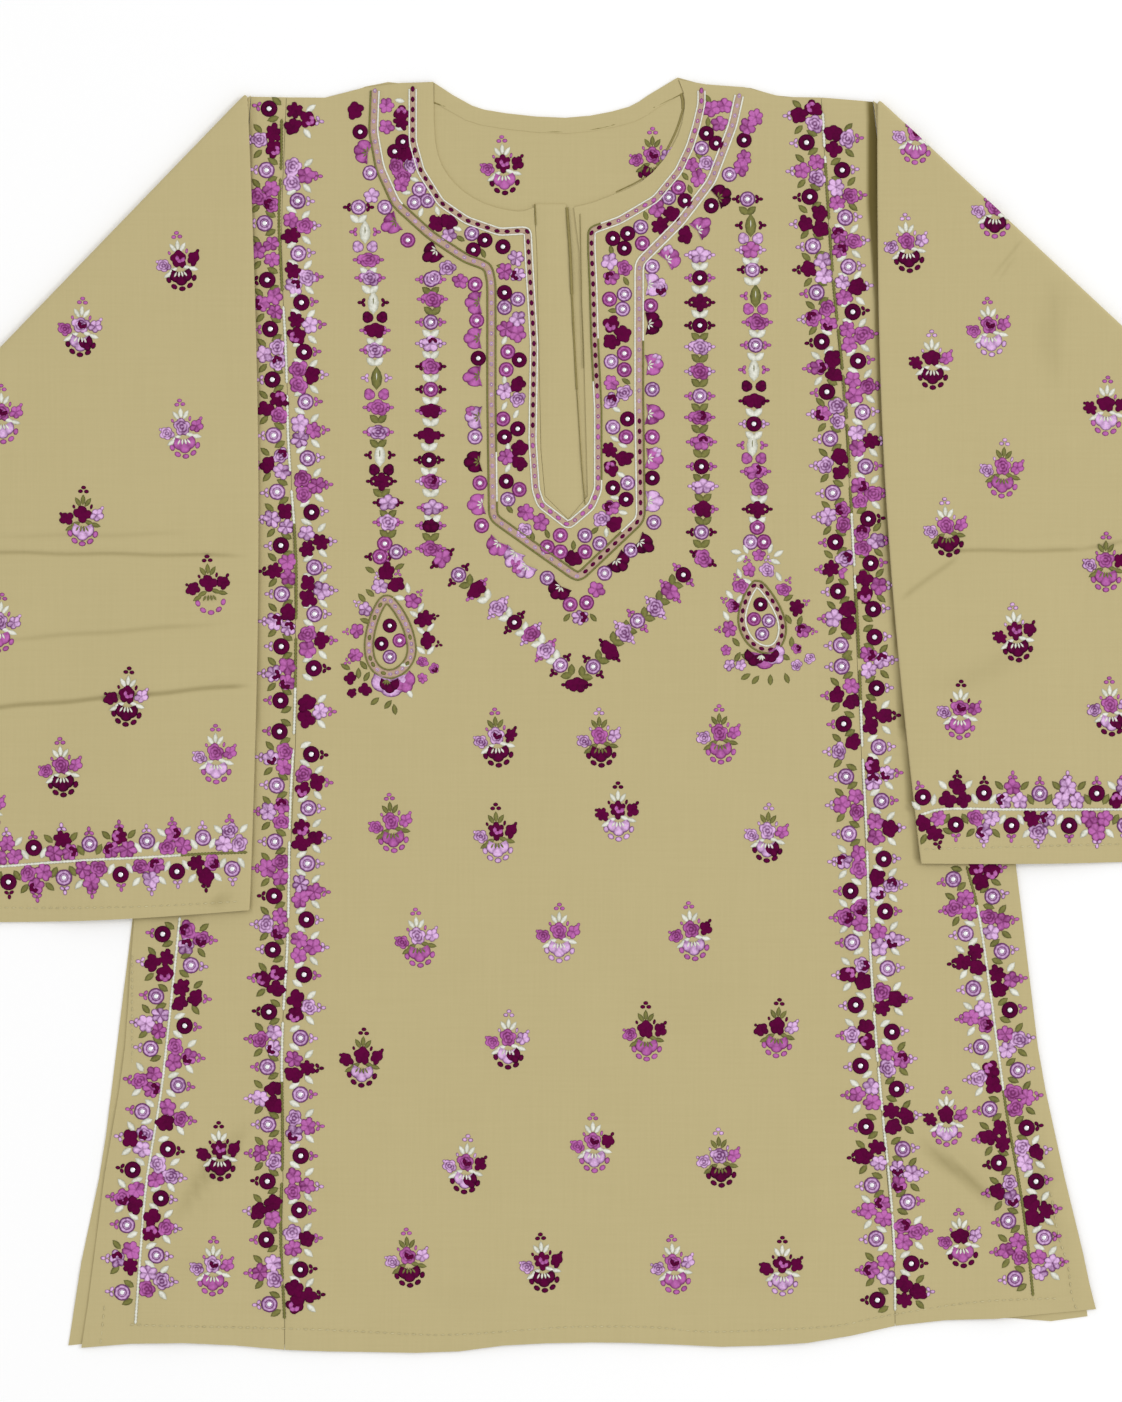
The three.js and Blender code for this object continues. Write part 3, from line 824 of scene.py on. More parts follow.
def strip(thread, path, profile, layer="front", closed=False):
    # a ribbon or cord along a path; the profile gives each edge's offset, height and tone
    line, marks = resample(path, stripStep, closed)
    normal = sideways(line, closed)
    spots, stitch, faces = [], [], []
    for offset, height, tone in profile:
        edge = line + normal * offset
        z = ground(layer, edge[:, 0], edge[:, 1]) + height
        spots.append(np.column_stack([edge, z]))
        stitch.append(np.column_stack([marks + 0.6 * offset, 0 * marks + tone, 0 * marks]))
    count = len(line)
    for edge in range(len(profile) - 1):
        for i in range(count - 1):
            a = edge * count + i
            b = a + count
            faces.append((a + 1, b, a))
            faces.append((b + 1, b, a + 1))
    gather(thread, np.concatenate(spots), np.concatenate(stitch), np.array(faces))


def cord(thread, path, width, height=0.5, layer="front"):
    half = width / 2
    # its edges are painted darker, as shade where the cord dives into the cloth
    profile = ((-half - 0.05, -0.2, 1), (-half, 0.15, 0.7), (-half / 2, height, 0.1), (half / 2, height, 0.0),
               (half, 0.15, 0.8), (half + 0.05, -0.2, 1))
    strip(thread, path, profile, layer)


def offsetPath(path, offset, closed=False):
    line, _ = resample(path, stripStep, closed)
    return line + sideways(line, closed) * offset


# Small groups of stitches. Turn 0 points up.

def away(across, up, turn, reach):
    # the place at that reach from another
    angle = math.radians(turn + 90)
    return across + reach * math.cos(angle), up + reach * math.sin(angle)


def headingOf(way):
    return math.degrees(math.atan2(way[1], way[0])) - 90


def flowerForm(colour, *kindNames):
    return dice.choice(kinds["clump"] if colour == "wine" else sum([kinds[name] for name in kindNames], []))


def flower(colour, across, up, size, layer="front"):
    form = flowerForm(colour, "bloom", "daisy", "rose")
    size *= dice.uniform(0.93, 1.07)
    turn = dice.uniform(0, 360)
    sew(colour, form, across, up, (size, size * dice.uniform(0.92, 1.06)), turn, layer)
    # one in five has a petal or two in another thread
    heart = dice.choice((None, None, None, None, "orchid" if colour == "wine" else "wine"))
    if heart:
        sew(heart, "fan", *away(across, up, turn - 90, 0.22 * size), size * 0.66, turn - 90, layer, 0.12)


def ring(colour, across, up, size, layer="front"):
    turn = dice.uniform(0, 360)
    form, eye = ("disc", 0.3) if colour == "wine" else ("ring", 0.29)
    sew(colour, form, across, up, (size, size * 0.98), turn, layer)
    sew("mirror", "mirror", across, up, size * eye, turn, layer)


def trefoil(colour, across, up, turn, size, spread, layer="front"):
    # three seed stitches that point outward
    for way in (turn - 120, turn, turn + 120):
        sew(colour, "dot", *away(across, up, way, spread), (size * 0.85, size * 1.2), way, layer)


def leafPair(colour, across, up, turn, size, open):
    for way in (turn + open, turn - open):
        sew(colour, "leaf", *away(across, up, way, size * 0.85), (size * 0.62, size), way)


# Flower borders: a chain stitched line with threes of flowers and mirrored rings by turns on either side

borderRepeat = {"step": 17.2, "flower": 5.5, "ring": 5.1, "stack": 4.8, "seed": 1.35, "seedSpread": 1.75}
borderLeaves = {
    "ring": {"out": -3.6, "along": 5.6, "size": (2.0, 3.8), "lean": (0.9, 0.5)},
    "three": {"out": 1.0, "along": 7.8, "size": (1.9, 3.7), "lean": (0.72, 0.7)},
}
mainColours = ("wine", "orchid", "lavender", "orchid", "wine", "lavender", "orchid")
letterThreads = {"w": "wine", "o": "orchid", "l": "lavender"}
leafLetters = {"w": "white", "g": "olive"}

# near, apex and ring say how far from the line things lie, on its right and on its left.
# white and leaves say where the line and each side's leaves are white and not olive.
# Each side's row runs down: the height of a ring, its colour, and the colours of the three flowers under it,
# outer one first.
borders = {
    "left": {
        "path": [(-168, 764), (-171, 752), (-171, 743), (-171, 725), (-173, 692), (-171, 655),
                 (-168, 608), (-167, 552), (-162, 489), (-162, 447), (-163, 381), (-166, 332),
                 (-167, 250), (-170, 207), (-171, 178), (-170, 123), (-172, 75), (-169, 20)],
        "near": (7.2, 5.0), "apex": (15.6, 13.4), "ring": (11.2, 8.8), "lineFrom": 752,
        "white": ((505, 640), (166, 405)), "leaves": (((0, 800),), ()),
        "rows": (
            [(772, None, "www"), (735, None, "oll"), (702, "l", "oow"), (669, "l", "lwl"),
             (639, "w", "lww"), (609, "w", "woo"), (579, "l", "oll"), (544, "l", "ooo"),
             (511, "w", "wlw"), (478, "l", "lww"), (450, "l", "woo"), (417, "w", "lww"),
             (365, "w", "wow"), (332, "l", "www"), (298, "l", "olo"), (264, "w", "ooo"),
             (231, "w", "lww"), (192, "l", "wow"), (157, "l", "oll"), (120, "w", "ooo"),
             (87, "w", "wlo"), (50, "w", "www")],
            [(756, "w", "lww"), (720, "l", "ooo"), (688, "l", "ooo"), (654, "w", "ooo"),
             (624, "w", "lll"), (593, "w", "wwo"), (559, "l", "wll"), (525, "l", "lwl"),
             (492, "w", "woo"), (462, "l", "lwl"), (430, "w", "loo"), (397, "w", None),
             (378, "w", "loo"), (345, "l", "loo"), (311, "l", "ooo"), (278, "w", "loo"),
             (245, "w", "www"), (207, "w", "oll"), (174, "l", "lww"), (139, "l", "ool"),
             (104, "w", "wwo"), (69, "w", "oll"), (30, "l", None)],
        ),
    },
    "right": {
        "path": [(158, 764), (159, 756), (160, 733), (165, 654), (173, 581), (176, 520), (178, 483),
                 (181, 428), (183, 367), (186, 312), (187, 260), (190, 207), (195, 148), (200, 102),
                 (203, 60), (203, 26)],
        "near": (5.6, 5.4), "apex": (14.2, 14.4), "ring": (10.0, 10.8), "lineFrom": 756,
        "white": ((725, 770), (465, 511), (0, 398)),
        "leaves": (((512, 700), (180, 390), (40, 90)), ((600, 632), (150, 300), (60, 100))),
        "rows": (
            [(757, None, "lww"), (720, "w", "olo"), (691, "l", "ooo"), (661, "l", "wlo"),
             (633, "w", "ooo"), (603, "w", "ooo"), (572, "l", "wlo"), (540, "l", "ooo"),
             (508, "w", "loo"), (481, "w", "oww"), (453, "w", None), (436, "w", "lol"),
             (405, "w", "www"), (369, "l", "lwl"), (336, "l", "woo"), (301, "w", "lwl"),
             (269, "w", "lol"), (234, "l", "wow"), (195, "w", "ool"), (160, "w", "www"),
             (123, "l", "llo"), (91, "l", "ooo"), (54, "w", "www")],
            [(770, None, "wwl"), (738, "w", "ool"), (705, "w", "www"), (675, "l", "wll"),
             (647, "l", "ooo"), (617, "w", "oww"), (586, "w", "oll"), (558, "l", "lww"),
             (525, "l", "loo"), (495, "w", "wlw"), (465, "w", "lww"), (432, "l", None),
             (419, "l", "wow"), (384, "w", "lwl"), (352, "l", "ooo"), (317, "l", "loo"),
             (282, "w", "ooo"), (251, "l", "wlw"), (213, "w", "lww"), (176, "w", "olo"),
             (139, "w", "wwl"), (103, "l", "ooo"), (70, "l", "ool"), (32, "w", None)],
        ),
    },
    "lowerLeft": {
        "path": [(-233, 264), (-239, 207), (-244, 159), (-254, 102), (-257, 60), (-260, 17)],
        "near": (5.4, 5.6), "apex": (14.4, 13.8), "ring": (9.8, 9.4),
        "white": ((0, 300),), "leaves": (((0, 215),), ((60, 170),)),
        "rows": (
            [(270, None, "ool"), (237, "l", "www"), (200, "w", "ooo"), (164, "l", "oow"),
             (126, "w", "llo"), (95, "w", "oww"), (60, "l", "llo")],
            [(254, "w", "www"), (216, "l", "llo"), (184, "l", "ooo"), (145, "l", "wll"),
             (110, "w", "oow"), (77, "l", "low"), (36, "l", None)],
        ),
    },
    "lowerRight": {
        "path": [(247, 295), (254, 270), (260, 228), (266, 182), (271, 145), (279, 102), (284, 66),
                 (287, 35)],
        "near": (5.6, 5.6), "apex": (13.6, 13.8), "ring": (10.4, 10.0),
        "white": ((160, 272),), "leaves": (((215, 235), (0, 120)), ((150, 260),)),
        "rows": (
            [(304, None, "www"), (276, "l", "ool"), (243, "l", "oww"), (207, "w", "lol"),
             (171, "l", "ooo"), (135, "w", "wll"), (103, "w", "www"), (69, "l", "lol")],
            [(291, "l", "ooo"), (257, "l", "www"), (223, "l", "olo"), (188, "l", "lww"),
             (150, "l", "www"), (117, "w", "wll"), (82, "l", "ooo"), (46, "l", None)],
        ),
    },
    "cuffLeft": {
        "path": [(-193, 305), (-222, 304), (-251, 302), (-297, 300), (-343, 296), (-388, 294)],
        "layer": "leftFlap", "near": (5.4, 5.4), "apex": (13.6, 13.6), "ring": (9.8, 9.8), "first": 8,
        "whiteAcross": ((-400, -232),), "leavesAcross": (((-300, -190),), ((-262, -190), (-360, -320))),
    },
    "cuffRight": {
        "path": [(219, 328), (231, 332), (270, 331), (342, 331), (416, 333)],
        "layer": "rightFlap", "near": (5.4, 5.4), "apex": (13.6, 13.6), "ring": (9.8, 9.8), "first": 4,
        "whiteAcross": ((200, 430),), "leavesAcross": (((222, 262), (330, 400)), ((262, 330),)),
    },
}


def within(value, stretches):
    return any(low <= value <= high for low, high in stretches)


def sewBorderLeaves(kind, middle, run, out, leaves, layer):
    # a leaf on either side of a ring or three
    leaf = borderLeaves[kind]
    outward, onward = leaf["lean"]
    for side in (-1, 1):
        spot = middle + out * leaf["out"] + run * side * leaf["along"]
        sew(leaves, "leaf", *spot, leaf["size"], headingOf(out * outward + run * side * onward), layer)


def sewBorderSeeds(colour, spot, out, layer):
    thread = dice.choice((colour, "orchid", "lavender"))
    trefoil(thread, *spot, headingOf(out), borderRepeat["seed"], borderRepeat["seedSpread"], layer)


def sewBorderRing(border, half, spot, run, out, colour, leaves, layer):
    middle = spot + out * border["ring"][half]
    ring(colour, *middle, borderRepeat["ring"], layer)
    sewBorderSeeds(colour, middle + out * 7.3, out, layer)
    sewBorderLeaves("ring", middle, run, out, leaves, layer)


def sewBorderThree(border, half, spot, run, out, colours, leaves, layer):
    stack = borderRepeat["stack"]
    spots = [spot + out * border["apex"][half] + run * dice.uniform(-1.2, 1.2)]
    spots += [spot + out * border["near"][half] + run * drop for drop in (-stack, stack)]
    for flowerSpot, colour in zip(spots, colours):
        flower(colour, *flowerSpot, borderRepeat["flower"], layer)
    sewBorderSeeds(colours[0], spots[0] + out * 6.9, out, layer)
    sewBorderLeaves("three", spot + out * border["apex"][half], run, out, leaves, layer)


def sewBorder(border):
    layer = border.get("layer", "front")
    axis = 0 if "whiteAcross" in border else 1
    whiteLine = border.get("whiteAcross") or border["white"]
    whiteLeaves = border.get("leavesAcross") or border["leaves"]
    line, marks = resample(softened(border["path"], 12), 1.0)
    normal = sideways(line)
    last = len(line) - 2
    for i in range(0, last + 1, 2):
        if line[i][1] <= border.get("lineFrom", 800):
            colour = "white" if within(line[i][axis], whiteLine) else "olive"
            sew(colour, "stroke", *line[i], (1.0, 1.7), headingOf(line[i + 1] - line[i]), layer)

    def sewAt(i, half, colours):
        # one colour makes a ring, several make a three
        leaves = "white" if within(line[i][axis], whiteLeaves[half]) else "olive"
        group = sewBorderRing if isinstance(colours, str) else sewBorderThree
        group(border, half, line[i], line[i + 1] - line[i], normal[i] * (1, -1)[half], colours, leaves, layer)

    def nearest(up):
        return int(np.clip(np.argmin(np.abs(line[:, 1] - up)), 0, last))

    if "rows" in border:
        for half, row in enumerate(border["rows"]):
            for number, (up, ringColour, three) in enumerate(row):
                if ringColour:
                    sewAt(nearest(up), half, letterThreads[ringColour])
                if three:
                    below = row[number + 1][0] if number + 1 < len(row) else up - 33
                    sewAt(nearest((up + below) / 2), half, [letterThreads[letter] for letter in three])
        return
    count = int((marks[-1] - border["first"]) / borderRepeat["step"]) + 1
    for k in range(count):
        i = min(last, int(border["first"] + k * borderRepeat["step"]))
        for half in (0, 1):
            if k % 2 == half:
                sewAt(i, half, dice.choice(("wine", "wine", "lavender")))
            else:
                colour = dice.choice(mainColours)
                three = [colour if dice.random() < 0.62 else dice.choice(mainColours) for _ in range(3)]
                sewAt(i, half, three)


for border in borders.values():
    sewBorder(border)
print("borders sewn")


# Couched bands that frame the neck and slit

bands = {
    "inner": {
        "path": [(-91, 770), (-91, 738), (-86, 720), (-74, 701), (-58, 690), (-38, 683), (-21, 684),
                 (-20, 664), (-17, 614), (-18, 556), (-16, 526), (-13, 517), (4, 504), (18, 516),
                 (22, 526), (22, 575), (20, 615), (19, 651), (18, 672), (18, 684), (35, 690), (57, 703),
                 (71, 720), (78, 735), (82, 748), (85, 761), (85, 769)],
        "width": 3.6, "cord": 1.0, "every": 6.2, "corner": 1.0,
    },
    "outer": {
        "path": [(-114, 769), (-115, 744), (-111, 722), (-101, 700), (-80, 681), (-59, 667), (-45, 662),
                 (-43, 652), (-43, 581), (-42, 509), (10, 472), (48, 508), (47, 581), (47, 664),
                 (72, 689), (91, 714), (104, 748), (108, 766)],
        "width": 4.4, "cord": 1.1, "every": 6.2, "corner": 2.0,
    },
}


def sewBand(band, edgeColours, seedAt, closed=False):
    # a couched ground between two cords, which change colour on their way, with a row of seeds on it
    line = softened(band["path"], band.get("corner", 3.0), closed)
    half = band["width"] / 2
    # the ground's edges are painted darker, as shade
    profile = ((-half, 0.05, 0.4), (-half * 0.5, 0.24, 0.0), (half * 0.5, 0.24, 0.0), (half, 0.05, 0.4))
    strip("couched", line, profile, closed=closed)
    for side in (-1, 1):
        edge = offsetPath(line, side * (half + 0.3), closed)
        colours = [edgeColours(side, *spot) for spot in edge]
        cuts = [i for i in range(1, len(edge)) if colours[i] != colours[i - 1]]
        for start, stop in zip([0] + cuts, cuts + [len(edge) - 1]):
            if stop - start > 1:
                cord(colours[(start + stop) // 2], edge[start:stop + 1], band["cord"])
    spots, _ = resample(line, band["every"], closed)
    run = np.gradient(spots, axis=0)
    for i in range(len(spots) - (1 if closed else 0)):
        heading = headingOf(run[i])
        colour, form = seedAt(*spots[i])
        size = (1.25, 1.9) if form == "dot" else (1.15, 1.5)
        sew(colour, form, *spots[i], size, heading, "front", 0.16)
        if form == "eyelet":
            sew("white", "dot", *spots[i], 0.5, heading, "front", 0.1)


def innerEdge(side, across, up):
    # the right side changes its lines on the way down
    if across < 12 or up > 688:
        return "white"
    if side > 0:
        return "olive" if up > 590 else "white"
    return "olive" if 530 < up < 617 else "white"


def innerSeed(across, up):
    # wine ovals run down both sides of the slit, purple dots and eyelets the rest of the way
    if across < -10 and up > 560 or across > 12 and 585 < up < 688:
        return "wine", "dot"
    return ("orchid", "dot") if dice.random() < 0.5 else ("orchid", "eyelet")


def outerEdge(side, across, up):
    if across < 10:
        return "white" if side > 0 and (up > 700 or up < 550 and up > 520) else "olive"
    if side < 0:
        return "olive" if up < 615 else "white"
    return "white" if up > 500 else "olive"


def outerSeed(across, up):
    return ("wine", "dot") if across > 12 and up < 570 else ("lavender", "eyelet")


sewBand(bands["inner"], innerEdge, innerSeed)
sewBand(bands["outer"], outerEdge, outerSeed)
print("neck bands sewn")


# Flowers and rings between the bands and in the row round them

yokeFlowers = {
    "orchid": [(-107, 760), (-107, 747), (-101, 723), (-97, 717), (-98, 712), (-35, 659), (-34, 624),
               (-27, 621), (-34, 546), (-22, 512), (-13, 506), (91, 758), (99, 760), (96, 749),
               (79, 724), (83, 716), (58, 697), (38, 661), (30, 655), (30, 591), (30, 515), (118, 753),
               (113, 747), (111, 728), (109, 722), (21, 465), (-62, 653)],
    "wine": [(-98, 755), (-98, 750), (-95, 730), (-77, 688), (-69, 689), (-27, 590), (-26, 551),
             (-26, 542), (7, 484), (32, 505), (67, 694), (60, 687), (30, 627), (37, 621), (30, 616),
             (29, 550), (38, 545), (30, 539), (-126, 757), (75, 681)],
    "lavender": [(-92, 724), (-69, 681), (-28, 667), (-27, 657), (-27, 630), (-35, 586), (-27, 581),
                 (-23, 501), (24, 508), (88, 725), (29, 665), (38, 585), (30, 580), (11, 448),
                 (-70, 661), (-116, 705), (60, 649)],
}
yokeRings = {
    "wine": [(-97, 738), (-102, 732), (-47, 678), (-54, 672), (-36, 674), (-35, 646), (-26, 605),
             (-27, 563), (-35, 558), (-34, 531), (31, 527), (39, 520), (88, 743), (94, 737), (75, 702),
             (40, 682), (31, 679), (38, 673), (40, 569), (-123, 744), (-51, 606), (111, 739), (91, 699),
             (55, 533)],
    "lavender": [(-87, 709), (-90, 701), (-82, 702), (-55, 682), (-35, 637), (-27, 642), (-33, 520),
                 (14, 498), (23, 493), (85, 734), (65, 704), (48, 686), (40, 530), (38, 645), (37, 636),
                 (30, 604), (31, 564), (-117, 719), (-108, 698), (-78, 655), (-53, 558), (102, 718),
                 (55, 662), (55, 587), (56, 506), (42, 489), (26, 475), (-9, 472)],
    "orchid": [(-33, 610), (-34, 599), (-36, 569), (-26, 526), (-1, 498), (-9, 491), (-1, 488),
               (14, 488), (71, 710), (49, 676), (29, 642), (38, 609), (38, 599), (39, 558), (-94, 678),
               (-53, 651), (-52, 629), (-50, 530), (-49, 504), (54, 638), (55, 558), (15, 457), (5, 456)],
}
# Scalloped half flowers that grow outward from the outer band: place, the way they face, and the letters of
# their colour and stamens
halfFlowers = [
    (-123, 732, 80, "og"), (-105, 687, 120, "og"), (-80, 669, 130, "ww"), (-55, 640, 90, "og"),
    (-55, 618, 90, "og"), (-55, 595, 90, "og"), (-55, 570, 90, "lg"), (-55, 543, 90, "wg"),
    (-53, 517, 90, "ow"), (-41, 490, 145, "ow"), (-31, 484, 145, "lw"), (-24, 476, 145, "lw"),
    (-3, 463, 150, "ww"), (99, 706, -60, "wg"), (86, 687, -50, "ow"), (67, 669, -45, "ow"),
    (57, 651, -90, "lw"), (57, 627, -90, "ww"), (57, 602, -90, "ow"), (57, 572, -90, "ow"),
    (57, 545, -90, "ow"), (57, 519, -90, "lw"), (51, 492, -120, "ww"), (36, 480, -135, "ww"),
]
yokeLeaves = {
    "olive": [(-62, 679, 60), (-48, 670, 20), (-37, 662, 80), (-32, 514, 40), (-18, 497, 0),
              (-9, 499, 20), (7, 492, 0), (20, 501, -50), (89, 764, 30), (89, 750, 0), (84, 729, 60),
              (75, 717, 40), (78, 709, 20), (51, 693, 20), (30, 672, 10), (39, 653, 30), (31, 635, 90),
              (39, 592, 60), (3, 448, -40), (19, 448, 40)],
    "white": [(-99, 763, 80), (-99, 746, 80), (-90, 715, 70), (-95, 707, 90), (-86, 695, -20),
              (-76, 696, 20), (-64, 685, 70), (-35, 617, -30), (-35, 593, 0), (-35, 577, -30),
              (-28, 572, -30), (-33, 552, 0), (-33, 539, -30), (37, 512, 80), (27, 500, 0),
              (32, 521, 80), (33, 575, 60), (32, 557, 60), (37, 553, 70), (36, 535, 60)],
}


halfForms = ["half" + str(number) for number in range(4)]
for name in halfForms:
    forms[name] = roundForm((0, 0.36, 0.76, 0.9, 1, 1.03), (0.3, 0.44, 0.46, 0.38, 0.14, -0.25),
                            (0.5, 0.1, 0.0, 0.25, 1, 1), 20, 6, 0.13, 200, 0.7, 0.06, 0.3)
halfFlowerSize = (7.1, 9.4)
halfFlowerRoot = 4.6  # how far behind its place a half flower starts


def sewHalfFlower(across, up, turn, code):
    colour, stamens = letterThreads[code[0]], leafLetters[code[1]]
    root = away(across, up, turn, -halfFlowerRoot)
    sew(colour, dice.choice(halfForms), *root, halfFlowerSize, turn + dice.uniform(-5, 5))
    if colour != "wine" and dice.random() < 0.5:
        aside = dice.choice((-3.4, 3.4))
        petal = "lavender" if colour == "orchid" else "orchid"
        sew(petal, "fan", *away(across, up, turn + 90, aside), (3.4, 4.0), turn + 8 * aside, "front", 0.12)
    for lean in (-78, -34, 10, 52):
        sew(stamens, "stroke", *away(*root, turn + lean, 2.2), (0.65, 1.7), turn + lean, "front", 0.3)


def sewYoke():
    for colour, spots in yokeFlowers.items():
        for spot in spots:
            flower(colour, *spot, 5.2)
    for colour, spots in yokeRings.items():
        for spot in spots:
            ring(colour, *spot, 4.7)
    for colour, leaves in yokeLeaves.items():
        for across, up, turn in leaves:
            sew(colour, "leaf", across, up, (1.6, 3.2), turn)
    for halfFlower in halfFlowers:
        sewHalfFlower(*halfFlower)


sewYoke()
print("yoke flowers sewn")


# Garlands: columns of single flowers, rings and leaves, and the two that meet under the slit
# Each unit: kind, across, up, letters of its colour, its side dots and the leaf pair under it, and its lean.

garlands = {
    "outerLeft": [
        ("ring", -124, 698, "lww"), ("almond", -120, 683, "wo-"), ("pair", -120, 674, "l--"),
        ("rose", -118, 666, "oow"), ("rose", -117, 655, "low"), ("almond", -115, 640, "ww-"),
        ("pair", -114, 631, "w--"), ("flower", -114, 623, "wow"), ("rose", -114, 611, "low"),
        ("almond", -113, 594, "gl-"), ("pair", -113, 584, "o--"), ("rose", -112, 576, "oog"),
        ("rose", -112, 561, "log"), ("almond", -111, 547, "ww-"), ("pair", -110, 538, "w--"),
        ("flower", -110, 531, "wwg"), ("flower", -106, 518, "lwg"), ("flower", -106, 506, "log"),
        ("ring", -108, 493, "o--"), ("ring", -111, 485, "ow-"), ("ring", -101, 488, "lo-"),
    ],
    "innerLeft": [
        ("ring", -80, 654, "log"), ("flower", -79, 642, "oog"), ("ring", -80, 628, "low"),
        ("flower", -80, 615, "llw"), ("flower", -80, 601, "oww"), ("ring", -80, 587, "oww"),
        ("flower", -80, 574, "wow"), ("flower", -81, 559, "www"), ("ring", -81, 544, "www"),
        ("flower", -80, 531, "olw"), ("flower", -79, 515, "low"), ("disc", -80, 504, "wog"),
        ("rose", -80, 490, "oo-"), ("flower", -73, 484, "ow-", 40),
    ],
    "innerRight": [
        ("flower", 84, 669, "llw"), ("ring", 84, 655, "wow"), ("flower", 84, 640, "www"),
        ("ring", 84, 626, "wwg"), ("flower", 84, 613, "llg"), ("flower", 84, 598, "olg"),
        ("ring", 84, 583, "log"), ("flower", 84, 570, "oog"), ("flower", 85, 555, "oog"),
        ("ring", 85, 540, "wog"), ("flower", 86, 528, "llg"), ("flower", 86, 514, "wog"),
        ("ring", 85, 500, "lwg"), ("flower", 86, 484, "ow-", -30),
    ],
    "outerRight": [
        ("ring", 113, 703, "lwg"), ("almond", 115, 687, "gw-"), ("pair", 115, 679, "l--"),
        ("flower", 115, 672, "olw"), ("ring", 116, 660, "lww"), ("almond", 118, 644, "go-"),
        ("pair", 118, 636, "o--"), ("flower", 119, 628, "oow"), ("ring", 118, 614, "low"),
        ("almond", 117, 599, "wo-"), ("pair", 117, 589, "w--"), ("flower", 117, 580, "www"),
        ("ring", 117, 566, "wlw"), ("almond", 116, 553, "wo-"), ("pair", 117, 545, "o--"),
        ("flower", 118, 537, "oo-"), ("flower", 120, 527, "o-w"), ("flower", 119, 514, "www"),
        ("ring", 119, 503, "o--"), ("ring", 115, 494, "l--"), ("ring", 123, 494, "o--"),
    ],
    "lowerLeft": [
        ("ring", -63, 474, "lwg", 48), ("flower", -52, 465, "wow", 48), ("flower", -39, 454, "llw", 48),
        ("ring", -29, 445, "www", 48), ("rose", -19, 438, "olw", 48), ("flower", -10, 428, "low", 48),
        ("ring", -1, 419, "lwg", 48),
    ],
    "lowerRight": [
        ("ring", 74, 474, "wog", -48), ("flower", 66, 464, "oog", -48), ("flower", 57, 454, "llg", -48),
        ("ring", 46, 446, "log", -48), ("flower", 38, 439, "llg", -48), ("flower", 29, 428, "wwg", -48),
        ("ring", 19, 418, "lwg", -48), ("flower", 9, 407, "ww-", 0),
    ],
}


unitSizes = {"ring": 4.8, "disc": (5.4, 4.9), "rose": (6.3, 5.1), "flower": (6.2, 5.3), "almond": (3.5, 7.3),
             "bud": (3.5, 3.8)}


def sewUnit(kind, across, up, code, lean=0):
    colour = (leafLetters if kind == "almond" else letterThreads)[code[0]]
    dots, leaves = letterThreads.get(code[1]), leafLetters.get(code[2])
    if kind == "ring":
        ring(colour, across, up, unitSizes["ring"])
    elif kind == "disc":
        sew(colour, "bud", across, up, unitSizes["disc"], lean)
    elif kind == "rose":
        sew(colour, dice.choice(kinds["rose"]), across, up, unitSizes["rose"], lean)
    elif kind == "flower":
        sew(colour, flowerForm(colour, "bloom", "rose"), across, up, unitSizes["flower"], lean)
        if colour != "wine" and dice.random() < 0.25:
            turn = lean + dice.choice((-90, 0, 90))
            sew("wine", "fan", across + 1.2, up + 1.0, (3.2, 3.0), turn, "front", 0.12)
    elif kind == "almond":
        sew(colour, "leaf", across, up, unitSizes["almond"], lean)
        vein = "olive" if colour == "white" else "white"
        sew(vein, "stroke", across, up + 1.0, (0.4, 2.6), lean, "front", 0.22)
    else:
        for side in (-1, 1):
            sew(colour, "bud", *away(across, up, lean - 90, side * 4.4), unitSizes["bud"], lean - side * 24)
    dotReach = 6.7 if kind == "almond" else 6.6
    if dots:
        for side in (-1, 1):
            trefoil(dots, *away(across, up, lean - 90, side * dotReach), lean - side * 90, 1.3, 1.5)
    if leaves:
        leafPair(leaves, *away(across, up, lean, -9.0), lean, 3.7, 50)


for units in garlands.values():
    for unit in units:
        sewUnit(*unit)
print("garlands sewn")


# The two teardrops that end the outer garlands

teardrops = {
    "left": {
        "path": [(-107, 461), (-100, 453), (-94, 442), (-91, 429), (-93, 421), (-99, 415), (-105, 413),
                 (-112, 415), (-117, 422), (-118, 432), (-116, 443), (-112, 454)],
        "width": 4.6, "cord": 0.9, "every": 4.2,
    },
    "right": {
        "path": [(119, 470), (126, 462), (132, 452), (135, 442), (133, 433), (129, 429), (124, 428),
                 (117, 431), (112, 437), (109, 446), (111, 456), (115, 465)],
        "width": 3.8, "cord": 1.1, "every": 5.4,
    },
}
teardropFlowers = [
    ("wine", -107, 476, 5.0), ("wine", -101, 468, 4.9), ("lavender", -111, 467, 4.5),
    ("orchid", -91, 458, 4.7), ("wine", -84, 447, 4.9), ("wine", -82, 434, 5.0),
    ("orchid", -85, 421, 3.1), ("orchid", -78, 417, 3.1), ("orchid", -85, 411, 3.2),
    ("lavender", -120, 453, 4.2), ("orchid", -125, 440, 4.3), ("orchid", -126, 425, 4.2),
    ("wine", -129, 411, 3.6), ("wine", -120, 404, 3.6), ("wine", -128, 402, 3.0),
    ("orchid", 120, 486, 4.0), ("orchid", 114, 477, 4.2), ("lavender", 125, 477, 4.3),
    ("orchid", 109, 467, 4.3), ("orchid", 104, 455, 4.4), ("orchid", 102, 441, 4.5),
    ("orchid", 135, 465, 4.3), ("wine", 143, 454, 4.7), ("orchid", 147, 440, 4.4),
    ("orchid", 143, 429, 3.2), ("lavender", 143, 419, 3.3), ("lavender", 151, 423, 3.1),
    ("orchid", 100, 428, 3.0), ("lavender", 102, 419, 3.3), ("lavender", 109, 419, 3.2),
]
